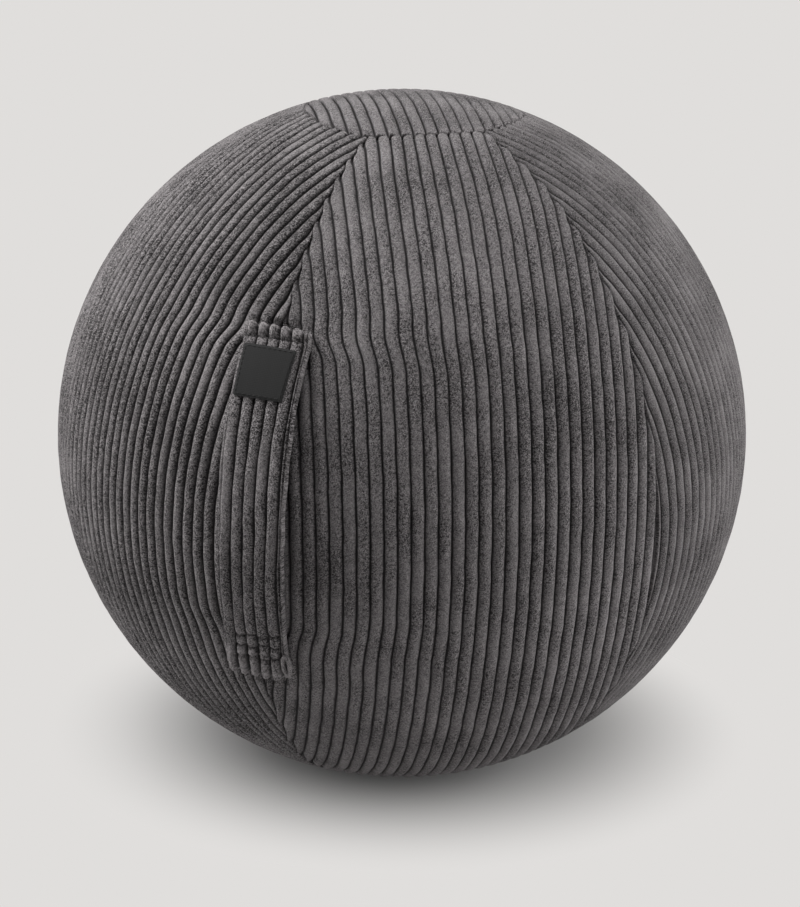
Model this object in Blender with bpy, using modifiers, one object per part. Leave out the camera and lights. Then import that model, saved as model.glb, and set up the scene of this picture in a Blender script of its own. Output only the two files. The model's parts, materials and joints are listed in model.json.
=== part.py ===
# Sitting ball: an inflated bladder in a sewn corduroy cover with a carrying handle and a rear zip.
# Metres, +Z up. The origin is the middle of the flat patch that the ball stands on, and the handle
# faces -Y.
import math

import bmesh
import bpy
from mathutils import Matrix, Vector

# Ball and cover
BALL_DIAMETER = 0.650
FOOT_RADIUS = 0.045
GORE_NAMES = ("gore_front", "gore_right", "gore_rear_right", "gore_rear_left", "gore_far_left", "gore_left")
CAP_CORNER_LATITUDE = math.radians(70.6)
CAP_EDGE_BOW = math.radians(1.2)
COVER_THICKNESS = 0.0055
SEAM_GAP = 0.0008
SEAM_DIP = 0.0020
SEAM_BORDER = 0.012
FIT_GAP = 0.0003

# Handle, measured along the strap from its upper end
HANDLE_LENGTH = 0.295
HANDLE_WIDTH = 0.057
HANDLE_CENTRE_LATITUDE = math.radians(8.9)
HANDLE_RIBS = 5
HANDLE_RIB_PITCH = 0.0098
RIB_CREST = 0.0050
RIB_GROOVE = 0.0027
STRAP_EDGE = 0.0022
GRIP_LENGTH = 0.075
GRIP_GAP = 0.008
UPPER_ROW_INSET = 0.0096
LOWER_ROW_INSETS = (0.042, 0.0295)
PINCH = 0.003
PINCHED_SHARE = 0.3
END_TAPER = 0.004
CUT_MARGIN = 0.008

# Label and thread
LABEL_WIDTH = 0.041
LABEL_HEIGHT = 0.041
LABEL_THICKNESS = 0.0008
LABEL_OFFSET = -0.0035
LABEL_MARGIN = 0.0062
LABEL_STITCH_INSET = 0.0018
THREAD_RADIUS = 0.00035

# Zip, measured down the rear seam from its top stop
ZIP_LENGTH = 0.320
ZIP_TOP_LATITUDE = math.radians(14.0)
ZIP_CHANNEL = 0.012
ZIP_CHANNEL_RAMP = 0.010
ZIP_STITCH_INSET = 0.004
TAPE_WIDTH = 0.014
TAPE_THICKNESS = 0.0006
TAPE_TAIL = 0.006
TEETH_SPLIT = 0.0020
TEETH_WIDTH = 0.0026
TEETH_HEIGHT = 0.0028
STOP_LENGTH = 0.004
STOP_ROUNDING = 0.0005
SLIDER_LENGTH = 0.013
SLIDER_WIDTH = 0.0105
SLIDER_PLATE = 0.0014
SLIDER_UNDER_PLATE = 0.0010
SLIDER_WEB = 0.0010
SLIDER_ROUNDING = 0.00035
SLIDER_CLEARANCE = 0.0004
CROWN_WIDTH = 0.0022
CROWN_LENGTH = 0.0064
CROWN_WALL = 0.0010
PIVOT_HEIGHT = 0.0026
PULLER_LENGTH = 0.028
PULLER_WIDTH = 0.007
PULLER_THICKNESS = 0.0014
PULLER_BAR = 0.0012
PULLER_WINDOW_WIDTH = 0.0036
PULLER_WINDOW_LENGTH = 0.0060
PULLER_HOLE_RADIUS = 0.0014

# Bladder and valve
BLADDER_WALL = 0.0010
VALVE_LATITUDE = math.radians(-22.0)
VALVE_AZIMUTH = math.radians(156.0)
SEAT_RADIUS = 0.012
SEAT_DEPTH = 0.0075
SEAT_BORE_RADIUS = 0.0045
PLUG_HEAD_RADIUS = 0.0070
PLUG_HEAD_THICKNESS = 0.0010
PLUG_LENGTH = 0.014
PLUG_TIP_RADIUS = 0.0034

# Facets
COLUMN_STEP = math.radians(9.5)
ROW_STEP = math.radians(7.0)
CAP_COLUMNS = 6
BLADDER_STEP = math.radians(12.0)
STRAP_STEP = 0.012
RIB_COLUMNS = 4
ZIP_STEP = 0.018
TURNED_STEPS = 24
CORNER_STEPS = 4
SMOOTH_ANGLE = math.radians(35.0)
MERGE_DISTANCE = 0.0001
TOLERANCE = 1e-6

# Worked out from the sizes above
BALL_RADIUS = BALL_DIAMETER / 2
CENTRE = Vector((0, 0, math.sqrt(BALL_RADIUS ** 2 - FOOT_RADIUS ** 2)))
COVER_INNER = BALL_RADIUS - COVER_THICKNESS
GORE_COUNT = len(GORE_NAMES)
GORE_ANGLE = 2 * math.pi / GORE_COUNT
FOOT_ANGLE = math.asin(FOOT_RADIUS / BALL_RADIUS)
BORDER_ANGLE = SEAM_BORDER / BALL_RADIUS
HALF_GAP_ANGLE = SEAM_GAP / 2 / BALL_RADIUS

UPPER_ROW = UPPER_ROW_INSET
LOWER_ROWS = tuple(HANDLE_LENGTH - inset for inset in LOWER_ROW_INSETS)
LABEL_TOP = UPPER_ROW + LABEL_MARGIN
LABEL_BOTTOM = LABEL_TOP + LABEL_HEIGHT
UPPER_CUT = LABEL_BOTTOM + LABEL_MARGIN
LOWER_CUT = LOWER_ROWS[0] - CUT_MARGIN
GRIP_TOP = (UPPER_CUT + LOWER_CUT - GRIP_LENGTH) / 2
GRIP_BOTTOM = GRIP_TOP + GRIP_LENGTH
RIBBED_HALF = HANDLE_RIBS * HANDLE_RIB_PITCH / 2

ZIP_SEAM = GORE_COUNT // 2
ZIP_AZIMUTH = ZIP_SEAM * GORE_ANGLE
TAPE_OUTER = COVER_INNER * math.cos(ROW_STEP / 2) - FIT_GAP
TAPE_INNER = TAPE_OUTER - TAPE_THICKNESS
TEETH_BASE = TAPE_OUTER + FIT_GAP
TEETH_TOP = TEETH_BASE + TEETH_HEIGHT
PLATE_BASE = TEETH_TOP + SLIDER_CLEARANCE
PLATE_TOP = PLATE_BASE + SLIDER_PLATE
UNDER_PLATE_TOP = TAPE_INNER - SLIDER_CLEARANCE
UNDER_PLATE_BASE = UNDER_PLATE_TOP - SLIDER_UNDER_PLATE
PIVOT_RADIUS = PLATE_TOP + PIVOT_HEIGHT
CROWN_BORE_RADIUS = math.hypot(PULLER_BAR, PULLER_THICKNESS) / 2 + FIT_GAP
CROWN_TOP = PIVOT_RADIUS + CROWN_BORE_RADIUS + CROWN_WALL
SLIDER_REST = STOP_LENGTH + SLIDER_CLEARANCE + SLIDER_LENGTH / 2
BLADDER_RADIUS = UNDER_PLATE_BASE - SLIDER_CLEARANCE
BLADDER_SEAT = COVER_THICKNESS + FIT_GAP

for old in list(bpy.data.objects):
    bpy.data.objects.remove(old, do_unlink=True)

parts = bpy.data.collections.new("sitting_ball")
cutters = bpy.data.collections.new("cutters")
for group in (parts, cutters):
    bpy.context.scene.collection.children.link(group)


def material(name, colour, roughness, metallic=0.0):
    made = bpy.data.materials.new(name)
    made.use_nodes = True
    shader = made.node_tree.nodes["Principled BSDF"]
    shader.inputs["Base Color"].default_value = (*colour, 1.0)
    shader.inputs["Roughness"].default_value = roughness
    shader.inputs["Metallic"].default_value = metallic
    return made


CORDUROY = material("corduroy", (0.085, 0.080, 0.081), 0.95)
LABEL_CLOTH = material("label_cloth", (0.020, 0.020, 0.021), 0.70)
THREAD = material("thread", (0.045, 0.043, 0.044), 0.80)
TAPE_CLOTH = material("tape_cloth", (0.040, 0.038, 0.039), 0.85)
TEETH_PLASTIC = material("teeth_plastic", (0.030, 0.029, 0.030), 0.50)
SLIDER_METAL = material("slider_metal", (0.090, 0.088, 0.088), 0.40, 0.9)
BLADDER_PLASTIC = material("bladder_plastic", (0.30, 0.30, 0.31), 0.45)
VALVE_PLASTIC = material("valve_plastic", (0.75, 0.75, 0.74), 0.40)


# Places on the ball


def direction(latitude, azimuth):
    level = math.cos(latitude)
    return Vector((level * math.sin(azimuth), -level * math.cos(azimuth), math.sin(latitude)))


def east(azimuth):
    return Vector((math.cos(azimuth), math.sin(azimuth), 0))


def on_shell(latitude, azimuth, radius, floor):
    # A point of a sphere round the ball's centre, pressed flat where it would pass below the floor
    point = CENTRE + direction(latitude, azimuth) * radius
    point.z = max(point.z, floor)
    return point


def over_meridian(azimuth, latitude, radius, offset, follow=1.0):
    # A point beside a meridian. follow 1 keeps to the ball's curve across, follow 0 runs straight across.
    normal = direction(latitude, azimuth)
    side = east(azimuth)
    turn = offset / radius
    curved = normal * (radius * math.cos(turn)) + side * (radius * math.sin(turn))
    straight = normal * radius + side * offset
    return CENTRE + straight.lerp(curved, follow)


def frame_at(latitude, azimuth, radius):
    # Local Z points out of the ball, Y down the meridian and X to the west
    normal = direction(latitude, azimuth)
    west = -east(azimuth)
    turned = Matrix((west, normal.cross(west), normal)).transposed().to_4x4()
    return Matrix.Translation(CENTRE + normal * radius) @ turned


# Stations: knots are set places, and a station is a knot's number plus a share of the way to the next


def subdivide(knots, step):
    stations = []
    for number, (low, high) in enumerate(zip(knots, knots[1:])):
        count = max(1, math.ceil(abs(high - low) / step - TOLERANCE))
        stations += [number + share / count for share in range(count)]
    return stations + [len(knots) - 1]


def at_station(knots, station):
    number = min(int(station), len(knots) - 2)
    return knots[number] + (knots[number + 1] - knots[number]) * (station - number)


# Meshes


def grid(columns, rows):
    # A flat sheet whose x and y count its columns and rows
    mesh = bmesh.new()
    bmesh.ops.create_grid(mesh, x_segments=columns, y_segments=rows, size=0.5)
    for vertex in mesh.verts:
        vertex.co = ((vertex.co.x + 0.5) * columns, (vertex.co.y + 0.5) * rows, 0)
    return mesh


def disc(columns, rings):
    # A flat round sheet whose rings lie one unit apart
    mesh = grid(columns, rings)
    for vertex in mesh.verts:
        turn = 2 * math.pi * vertex.co.x / columns
        vertex.co = (vertex.co.y * math.sin(turn), -vertex.co.y * math.cos(turn), 0)
    bmesh.ops.remove_doubles(mesh, verts=mesh.verts, dist=MERGE_DISTANCE)
    return mesh


def double(mesh):
    # Turns a flat sheet into a closed slab, with z 0 on one layer and 1 on the other
    made = bmesh.ops.extrude_face_region(mesh, geom=mesh.faces[:], use_keep_orig=True)
    for item in made["geom"]:
        if isinstance(item, bmesh.types.BMVert):
            item.co.z = 1
    return mesh


def keep(thing, group=parts):
    group.objects.link(thing)
    if group is cutters:
        thing.hide_render = True
        thing.display_type = 'WIRE'
    return thing


def to_object(name, mesh, finish, place=None, group=parts):
    if place:
        for vertex in mesh.verts:
            vertex.co = place(*vertex.co)
    bmesh.ops.recalc_face_normals(mesh, faces=mesh.faces)
    if mesh.calc_volume(signed=True) < 0:
        bmesh.ops.reverse_faces(mesh, faces=mesh.faces)
    data = bpy.data.meshes.new(name)
    mesh.to_mesh(data)
    mesh.free()
    data.shade_smooth()
    data.set_sharp_from_angle(angle=SMOOTH_ANGLE)
    data.materials.append(finish)
    return keep(bpy.data.objects.new(name, data), group)


def block(name, finish, low, high, bevel, group=parts):
    mesh = bmesh.new()
    bmesh.ops.create_cube(mesh, size=1)
    size = Vector(high) - Vector(low)
    middle = (Vector(high) + Vector(low)) / 2
    for vertex in mesh.verts:
        vertex.co = middle + Vector(a * b for a, b in zip(vertex.co, size))
    made = to_object(name, mesh, finish, group=group)
    if bevel:
        rounding = made.modifiers.new("rounding", 'BEVEL')
        rounding.width = bevel
        rounding.segments = 2
    return made


def combine(target, tool, operation):
    change = target.modifiers.new(tool.name, 'BOOLEAN')
    change.operation = operation
    change.object = tool


def thread(name, points, cyclic=False):
    data = bpy.data.curves.new(name, 'CURVE')
    data.dimensions = '3D'
    data.bevel_depth = THREAD_RADIUS
    data.bevel_resolution = 1
    data.use_fill_caps = True
    spline = data.splines.new('POLY')
    spline.points.add(len(points) - 1)
    for spot, point in zip(spline.points, points):
        spot.co = (*point, 1)
    spline.use_cyclic_u = cyclic
    data.materials.append(THREAD)
    return keep(bpy.data.objects.new(name, data))


def turned(name, profile, finish):
    # A profile of (radius, height) pairs, running down its outer side and up its inner side, turned round Z
    mesh = bmesh.new()
    corners = [mesh.verts.new((radius, 0, height)) for radius, height in profile]
    closed = profile[0][0] > 0 and profile[-1][0] > 0
    for first, second in zip(corners, corners[1:] + corners[:1] if closed else corners[1:]):
        mesh.edges.new((first, second))
    data = bpy.data.meshes.new(name)
    mesh.to_mesh(data)
    mesh.free()
    data.materials.append(finish)
    made = keep(bpy.data.objects.new(name, data))
    sweep = made.modifiers.new("turning", 'SCREW')
    sweep.steps = TURNED_STEPS
    sweep.render_steps = TURNED_STEPS
    sweep.use_merge_vertices = True
    sweep.merge_threshold = MERGE_DISTANCE
    sweep.use_smooth_shade = False
    return made


# Cover panels


def zip_latitude(along):
    return ZIP_TOP_LATITUDE - along / BALL_RADIUS


def seam_half_gap(seam, latitude):
    # The zip's seam stands open beside the zip and closes over a short ramp beyond both ends
    if seam % GORE_COUNT != ZIP_SEAM:
        return SEAM_GAP / 2
    past_top = (latitude - zip_latitude(-TAPE_TAIL)) * BALL_RADIUS
    past_bottom = (zip_latitude(ZIP_LENGTH + TAPE_TAIL) - latitude) * BALL_RADIUS
    shut = min(1, max(0, past_top, past_bottom) / ZIP_CHANNEL_RAMP)
    return (ZIP_CHANNEL * (1 - shut) + SEAM_GAP * shut) / 2


def cap_edge(azimuth):
    # Latitude of the cut line between cap and gore. Azimuth 0 is the middle of a gore.
    return CAP_CORNER_LATITUDE + CAP_EDGE_BOW * math.cos(GORE_COUNT / 2 * azimuth)


def gore_rows(azimuth):
    edge = cap_edge(azimuth) - HALF_GAP_ANGLE
    ramp = ZIP_CHANNEL_RAMP / BALL_RADIUS
    zip_low = zip_latitude(ZIP_LENGTH + TAPE_TAIL)
    zip_high = zip_latitude(-TAPE_TAIL)
    return (-edge, BORDER_ANGLE - edge, zip_low - ramp, zip_low, zip_high, zip_high + ramp,
            edge - BORDER_ANGLE, edge)


def gore_columns(index, latitude):
    reach = BALL_RADIUS * math.cos(latitude)
    left = seam_half_gap(index, latitude) / reach - GORE_ANGLE / 2
    right = GORE_ANGLE / 2 - seam_half_gap(index + 1, latitude) / reach
    border = SEAM_BORDER / reach
    return (left, left + border, right - border, right)


def layer_radius(layer, on_edge):
    if layer < 0.5:
        return COVER_INNER
    return BALL_RADIUS - (SEAM_DIP if on_edge else 0)


def layer_floor(layer):
    return COVER_THICKNESS if layer < 0.5 else 0


def make_gore(index):
    middle = (index + 0.5) * GORE_ANGLE
    columns = subdivide(gore_columns(index, 0), COLUMN_STEP)
    rows = subdivide(gore_rows(0), ROW_STEP)

    def place(x, y, layer):
        column = columns[round(x)]
        row = rows[round(y)]
        azimuth = 0
        for _ in range(3):
            latitude = at_station(gore_rows(azimuth), row)
            azimuth = at_station(gore_columns(index, latitude), column)
        on_edge = round(x) in (0, len(columns) - 1) or round(y) in (0, len(rows) - 1)
        return on_shell(latitude, middle + azimuth, layer_radius(layer, on_edge), layer_floor(layer))

    slab = double(grid(len(columns) - 1, len(rows) - 1))
    return to_object(GORE_NAMES[index], slab, CORDUROY, place)


def make_cap(name, pole):
    def knots(azimuth):
        from_seam = azimuth % GORE_ANGLE - GORE_ANGLE / 2
        edge = math.pi / 2 - cap_edge(from_seam) - HALF_GAP_ANGLE
        return (0, FOOT_ANGLE, edge - BORDER_ANGLE, edge)

    rings = subdivide(knots(0), ROW_STEP)

    def place(x, y, layer):
        azimuth = math.atan2(x, -y)
        ring = round(math.hypot(x, y))
        latitude = pole * (math.pi / 2 - at_station(knots(azimuth), rings[ring]))
        radius = layer_radius(layer, ring == len(rings) - 1)
        return on_shell(latitude, azimuth, radius, layer_floor(layer))

    slab = double(disc(GORE_COUNT * CAP_COLUMNS, len(rings) - 1))
    return to_object(name, slab, CORDUROY, place)


# Handle


def strap_latitude(along):
    return HANDLE_CENTRE_LATITUDE + (HANDLE_LENGTH / 2 - along) / BALL_RADIUS


def strap_lift(along):
    share = (along - UPPER_ROW) / (LOWER_ROWS[0] - UPPER_ROW)
    return GRIP_GAP * math.sin(math.pi * min(1, max(0, share)))


def strap_point(along, across, height):
    lift = strap_lift(along)
    radius = BALL_RADIUS + FIT_GAP + lift + height
    return over_meridian(0, strap_latitude(along), radius, across, 1 - lift / GRIP_GAP)


def strap_fullness(along):
    # How much of the ribs' height is left beside a stitched row or at a tapered end
    room = min(abs(along - row) / PINCH for row in (UPPER_ROW, *LOWER_ROWS))
    ends = min(along, HANDLE_LENGTH - along) / END_TAPER
    return PINCHED_SHARE + (1 - PINCHED_SHARE) * max(0, min(1, room, ends))


def strap_height(along, across):
    if abs(across) > RIBBED_HALF - TOLERANCE:
        top = RIB_GROOVE if abs(across) < RIBBED_HALF + TOLERANCE else STRAP_EDGE
    else:
        swell = abs(math.sin(math.pi * (across + RIBBED_HALF) / HANDLE_RIB_PITCH))
        top = RIB_GROOVE + (RIB_CREST - RIB_GROOVE) * swell
    return STRAP_EDGE + (top - STRAP_EDGE) * strap_fullness(along)


def strap_columns():
    count = HANDLE_RIBS * RIB_COLUMNS
    ribbed = [RIBBED_HALF * (2 * number / count - 1) for number in range(count + 1)]
    return [-HANDLE_WIDTH / 2, *ribbed, HANDLE_WIDTH / 2]


def make_strap(name, start, end):
    rows = (UPPER_ROW, *LOWER_ROWS)
    marks = [row + side * PINCH for row in rows for side in (-1, 0, 1)]
    marks += [END_TAPER, HANDLE_LENGTH - END_TAPER]
    knots = [start, *sorted(mark for mark in marks if start < mark < end), end]
    places = [at_station(knots, station) for station in subdivide(knots, STRAP_STEP)]
    columns = strap_columns()

    def place(x, y, layer):
        along = places[round(y)]
        across = columns[round(x)]
        return strap_point(along, across, layer * strap_height(along, across))

    slab = double(grid(len(columns) - 1, len(places) - 1))
    return to_object(name, slab, CORDUROY, place)


def make_handle():
    cuts = (0, UPPER_CUT, GRIP_TOP, GRIP_BOTTOM, LOWER_CUT, HANDLE_LENGTH)
    names = ("handle_upper_end", "handle_upper_run", "handle_grip", "handle_lower_run", "handle_lower_end")
    for name, start, end in zip(names, cuts, cuts[1:]):
        first = start + (FIT_GAP / 2 if start > 0 else 0)
        last = end - (FIT_GAP / 2 if end < HANDLE_LENGTH else 0)
        make_strap(name, first, last)


def make_row_stitch(name, along):
    clear = FIT_GAP + THREAD_RADIUS
    columns = strap_columns()[1:-1]
    thread(name, [strap_point(along, across, strap_height(along, across) + clear) for across in columns])


def label_point(along, across, height):
    return strap_point(along, LABEL_OFFSET + across, RIB_CREST + FIT_GAP + height)


def make_label():
    columns = math.ceil(LABEL_WIDTH / STRAP_STEP)
    rows = math.ceil(LABEL_HEIGHT / STRAP_STEP)

    def place(x, y, layer):
        along = LABEL_TOP + LABEL_HEIGHT * y / rows
        return label_point(along, LABEL_WIDTH * (x / columns - 0.5), layer * LABEL_THICKNESS)

    to_object("label", double(grid(columns, rows)), LABEL_CLOTH, place)

    high = LABEL_TOP + LABEL_STITCH_INSET
    low = LABEL_BOTTOM - LABEL_STITCH_INSET
    half = LABEL_WIDTH / 2 - LABEL_STITCH_INSET
    corners = ((high, -half), (high, half), (low, half), (low, -half))
    clear = LABEL_THICKNESS + FIT_GAP + THREAD_RADIUS
    points = []
    for start, end in zip(corners, corners[1:] + corners[:1]):
        for number in range(CORNER_STEPS):
            along, across = Vector(start).lerp(Vector(end), number / CORNER_STEPS)
            points.append(label_point(along, across, clear))
    thread("label_stitching", points, cyclic=True)


# Zip


def make_zip_strip(name, finish, side, inner, width, base, top, start, end):
    # One half of a band along the zip, between two distances from its middle line
    places = [at_station((start, end), station) for station in subdivide((start, end), ZIP_STEP)]

    def place(x, y, layer):
        offset = side * (inner + width * x)
        radius = top if layer > 0.5 else base
        return over_meridian(ZIP_AZIMUTH, zip_latitude(places[round(y)]), radius, offset)

    return to_object(name, double(grid(1, len(places) - 1)), finish, place)


def make_zip_half(name, side):
    split = TEETH_SPLIT / 2
    make_zip_strip("zip_tape_" + name, TAPE_CLOTH, side, split, TAPE_WIDTH, TAPE_INNER, TAPE_OUTER,
                   -TAPE_TAIL, ZIP_LENGTH + TAPE_TAIL)
    start = STOP_LENGTH + FIT_GAP
    make_zip_strip("zip_teeth_" + name, TEETH_PLASTIC, side, split, TEETH_WIDTH, TEETH_BASE, TEETH_TOP,
                   start, ZIP_LENGTH - start)
    offset = side * (ZIP_CHANNEL / 2 + ZIP_STITCH_INSET)
    dip = SEAM_DIP * (1 - ZIP_STITCH_INSET / SEAM_BORDER)
    radius = BALL_RADIUS - dip + FIT_GAP + THREAD_RADIUS
    stations = subdivide((0, ZIP_LENGTH), ZIP_STEP)
    places = [at_station((0, ZIP_LENGTH), station) for station in stations]
    thread("zip_stitch_" + name,
           [over_meridian(ZIP_AZIMUTH, zip_latitude(place), radius, offset) for place in places])


def make_zip_stop(name, middle):
    half_width = TEETH_SPLIT / 2 + TEETH_WIDTH
    low = (-half_width, -STOP_LENGTH / 2, TEETH_BASE)
    high = (half_width, STOP_LENGTH / 2, TEETH_TOP)
    stop = block(name, SLIDER_METAL, low, high, STOP_ROUNDING)
    stop.matrix_world = frame_at(zip_latitude(middle), ZIP_AZIMUTH, 0)


def make_slider():
    # The slider turns about the ball's centre as it runs along the seam
    axis = bpy.data.objects.new("zip_travel_axis", None)
    parts.objects.link(axis)
    axis.matrix_world = frame_at(zip_latitude(SLIDER_REST), ZIP_AZIMUTH, 0)

    half_width = SLIDER_WIDTH / 2
    half_length = SLIDER_LENGTH / 2
    sunk = SLIDER_UNDER_PLATE / 2
    slider = block("zip_slider", SLIDER_METAL, (-half_width, -half_length, PLATE_BASE),
                   (half_width, half_length, PLATE_TOP), SLIDER_ROUNDING)
    under = block("slider_under_plate", SLIDER_METAL, (-half_width, -half_length, UNDER_PLATE_BASE),
                  (half_width, half_length, UNDER_PLATE_TOP), 0, cutters)
    web = block("slider_web", SLIDER_METAL, (-SLIDER_WEB / 2, -half_length / 2, UNDER_PLATE_TOP - sunk),
                (SLIDER_WEB / 2, half_length / 2, PLATE_BASE + sunk), 0, cutters)
    crown = block("slider_crown", SLIDER_METAL, (-CROWN_WIDTH / 2, -CROWN_LENGTH / 2, PLATE_TOP - sunk),
                  (CROWN_WIDTH / 2, CROWN_LENGTH / 2, CROWN_TOP), CROWN_WALL / 2, cutters)

    bore_mesh = bmesh.new()
    bmesh.ops.create_cone(bore_mesh, cap_ends=True, segments=TURNED_STEPS, radius1=CROWN_BORE_RADIUS,
                          radius2=CROWN_BORE_RADIUS, depth=CROWN_WIDTH * 2)
    bore = to_object("slider_bore", bore_mesh, SLIDER_METAL, group=cutters)
    bore.rotation_euler.y = math.pi / 2
    bore.location.z = PIVOT_RADIUS

    combine(crown, bore, 'DIFFERENCE')
    for tool in (under, web, crown):
        combine(slider, tool, 'UNION')
    for piece in (slider, under, web, crown, bore):
        piece.parent = axis
    return axis


def rounded_outline(low, high, radius):
    points = []
    corners = ((high[0], high[1], 0), (low[0], high[1], 1), (low[0], low[1], 2), (high[0], low[1], 3))
    for x, y, quarter in corners:
        middle_x = x - radius if x == high[0] else x + radius
        middle_y = y - radius if y == high[1] else y + radius
        for step in range(CORNER_STEPS + 1):
            turn = (quarter + step / CORNER_STEPS) * math.pi / 2
            points.append((middle_x + radius * math.cos(turn), middle_y + radius * math.sin(turn)))
    return points


def make_puller(slider_axis):
    pivot = bpy.data.objects.new("puller_axis", None)
    parts.objects.link(pivot)
    pivot.parent = slider_axis
    pivot.location.z = PIVOT_RADIUS

    half = PULLER_WIDTH / 2
    window = PULLER_WINDOW_WIDTH / 2
    bar = PULLER_BAR / 2
    tip = PULLER_LENGTH - bar
    hole_y = tip - half
    outlines = (
        rounded_outline((-half, -bar), (half, tip), bar),
        rounded_outline((-window, bar), (window, bar + PULLER_WINDOW_LENGTH), bar),
        rounded_outline((-PULLER_HOLE_RADIUS, hole_y - PULLER_HOLE_RADIUS),
                        (PULLER_HOLE_RADIUS, hole_y + PULLER_HOLE_RADIUS), PULLER_HOLE_RADIUS))
    data = bpy.data.curves.new("zip_puller", 'CURVE')
    data.dimensions = '2D'
    data.fill_mode = 'BOTH'
    data.extrude = PULLER_THICKNESS / 2
    for outline in outlines:
        spline = data.splines.new('POLY')
        spline.points.add(len(outline) - 1)
        for spot, (x, y) in zip(spline.points, outline):
            spot.co = (x, y, 0, 1)
        spline.use_cyclic_u = True
    data.materials.append(SLIDER_METAL)
    puller = keep(bpy.data.objects.new("zip_puller", data))
    puller.parent = pivot


# Bladder and valve


def make_bladder():
    knots = (0, FOOT_ANGLE, math.pi)
    rings = subdivide(knots, BLADDER_STEP)
    columns = round(2 * math.pi / BLADDER_STEP)
    mesh = disc(columns, len(rings) - 1)
    for vertex in mesh.verts:
        azimuth = math.atan2(vertex.co.x, -vertex.co.y)
        ring = round(math.hypot(vertex.co.x, vertex.co.y))
        below = at_station(knots, rings[ring])
        point = CENTRE + direction(below - math.pi / 2, azimuth) * BLADDER_RADIUS
        if below < FOOT_ANGLE + TOLERANCE:
            point.z = BLADDER_SEAT
        vertex.co = point
    bmesh.ops.remove_doubles(mesh, verts=mesh.verts, dist=MERGE_DISTANCE)
    bladder = to_object("bladder", mesh, BLADDER_PLASTIC)
    wall = bladder.modifiers.new("wall", 'SOLIDIFY')
    wall.thickness = BLADDER_WALL
    wall.offset = -1

    hole_mesh = bmesh.new()
    bmesh.ops.create_cone(hole_mesh, cap_ends=True, segments=TURNED_STEPS, radius1=SEAT_RADIUS + FIT_GAP,
                          radius2=SEAT_RADIUS + FIT_GAP, depth=SEAT_DEPTH * 4)
    hole = to_object("valve_hole", hole_mesh, BLADDER_PLASTIC, group=cutters)
    hole.matrix_world = frame_at(VALVE_LATITUDE, VALVE_AZIMUTH, BLADDER_RADIUS)
    combine(bladder, hole, 'DIFFERENCE')


def make_valve():
    place = frame_at(VALVE_LATITUDE, VALVE_AZIMUTH, BLADDER_RADIUS)
    head_floor = -PLUG_HEAD_THICKNESS - FIT_GAP
    recess = PLUG_HEAD_RADIUS + FIT_GAP
    seat = turned("valve_seat", (
        (SEAT_RADIUS, 0), (SEAT_RADIUS, -SEAT_DEPTH), (SEAT_BORE_RADIUS, -SEAT_DEPTH),
        (SEAT_BORE_RADIUS, head_floor), (recess, head_floor), (recess, 0)), VALVE_PLASTIC)
    stem = SEAT_BORE_RADIUS - FIT_GAP
    plug = turned("valve_plug", (
        (0, 0), (PLUG_HEAD_RADIUS, 0), (PLUG_HEAD_RADIUS, -PLUG_HEAD_THICKNESS),
        (stem, -PLUG_HEAD_THICKNESS), (stem, -SEAT_DEPTH), (PLUG_TIP_RADIUS, -PLUG_LENGTH),
        (0, -PLUG_LENGTH)), VALVE_PLASTIC)
    for piece in (seat, plug):
        piece.matrix_world = place


for gore_index in range(GORE_COUNT):
    make_gore(gore_index)
make_cap("top_cap", 1)
make_cap("bottom_cap", -1)
make_handle()
make_row_stitch("handle_stitch_upper", UPPER_ROW)
for row_number, row_place in enumerate(LOWER_ROWS, start=1):
    make_row_stitch(f"handle_stitch_lower_{row_number}", row_place)
make_label()
make_zip_half("left", 1)
make_zip_half("right", -1)
make_zip_stop("zip_top_stop", STOP_LENGTH / 2)
make_zip_stop("zip_bottom_stop", ZIP_LENGTH - STOP_LENGTH / 2)
make_puller(make_slider())
make_bladder()
make_valve()
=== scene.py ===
# Looks of a sitting ball: ribbed corduroy panels over an inflated bladder, a carrying strap and a rear zip
import json
import math

import bmesh
import bpy
import numpy as np
from mathutils import Matrix, Vector


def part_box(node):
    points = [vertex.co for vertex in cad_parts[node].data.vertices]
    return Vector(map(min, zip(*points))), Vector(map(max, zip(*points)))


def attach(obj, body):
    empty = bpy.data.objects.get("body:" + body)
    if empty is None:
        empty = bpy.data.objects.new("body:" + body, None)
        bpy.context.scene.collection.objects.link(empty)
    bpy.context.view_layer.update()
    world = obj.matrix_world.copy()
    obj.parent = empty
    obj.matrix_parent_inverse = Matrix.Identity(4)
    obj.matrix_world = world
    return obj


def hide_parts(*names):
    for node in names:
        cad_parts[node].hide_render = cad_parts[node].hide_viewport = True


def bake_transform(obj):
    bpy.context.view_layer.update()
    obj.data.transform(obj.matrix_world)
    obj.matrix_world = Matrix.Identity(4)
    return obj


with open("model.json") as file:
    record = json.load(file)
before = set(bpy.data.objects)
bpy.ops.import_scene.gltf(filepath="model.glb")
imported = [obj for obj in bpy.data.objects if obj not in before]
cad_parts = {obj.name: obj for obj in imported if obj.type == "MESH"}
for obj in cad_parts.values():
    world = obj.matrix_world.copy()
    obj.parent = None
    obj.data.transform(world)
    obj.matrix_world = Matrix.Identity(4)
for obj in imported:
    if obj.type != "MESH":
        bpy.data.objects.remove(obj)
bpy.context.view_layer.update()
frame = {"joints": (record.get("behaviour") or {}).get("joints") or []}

joints = {joint["name"]: joint for joint in frame["joints"]}
centre = np.array(joints["zip_travel"]["pos_m"], float)  # the slider turns round the ball's middle
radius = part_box("top_cap")[1].z - centre[2]
mm = 0.001
deg = math.pi / 180
fullTurn = 2 * math.pi
up = np.array((0.0, 0.0, 1.0))
east = np.array((1.0, 0.0, 0.0))
print("frame loaded, ball radius", round(radius, 4))


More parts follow.
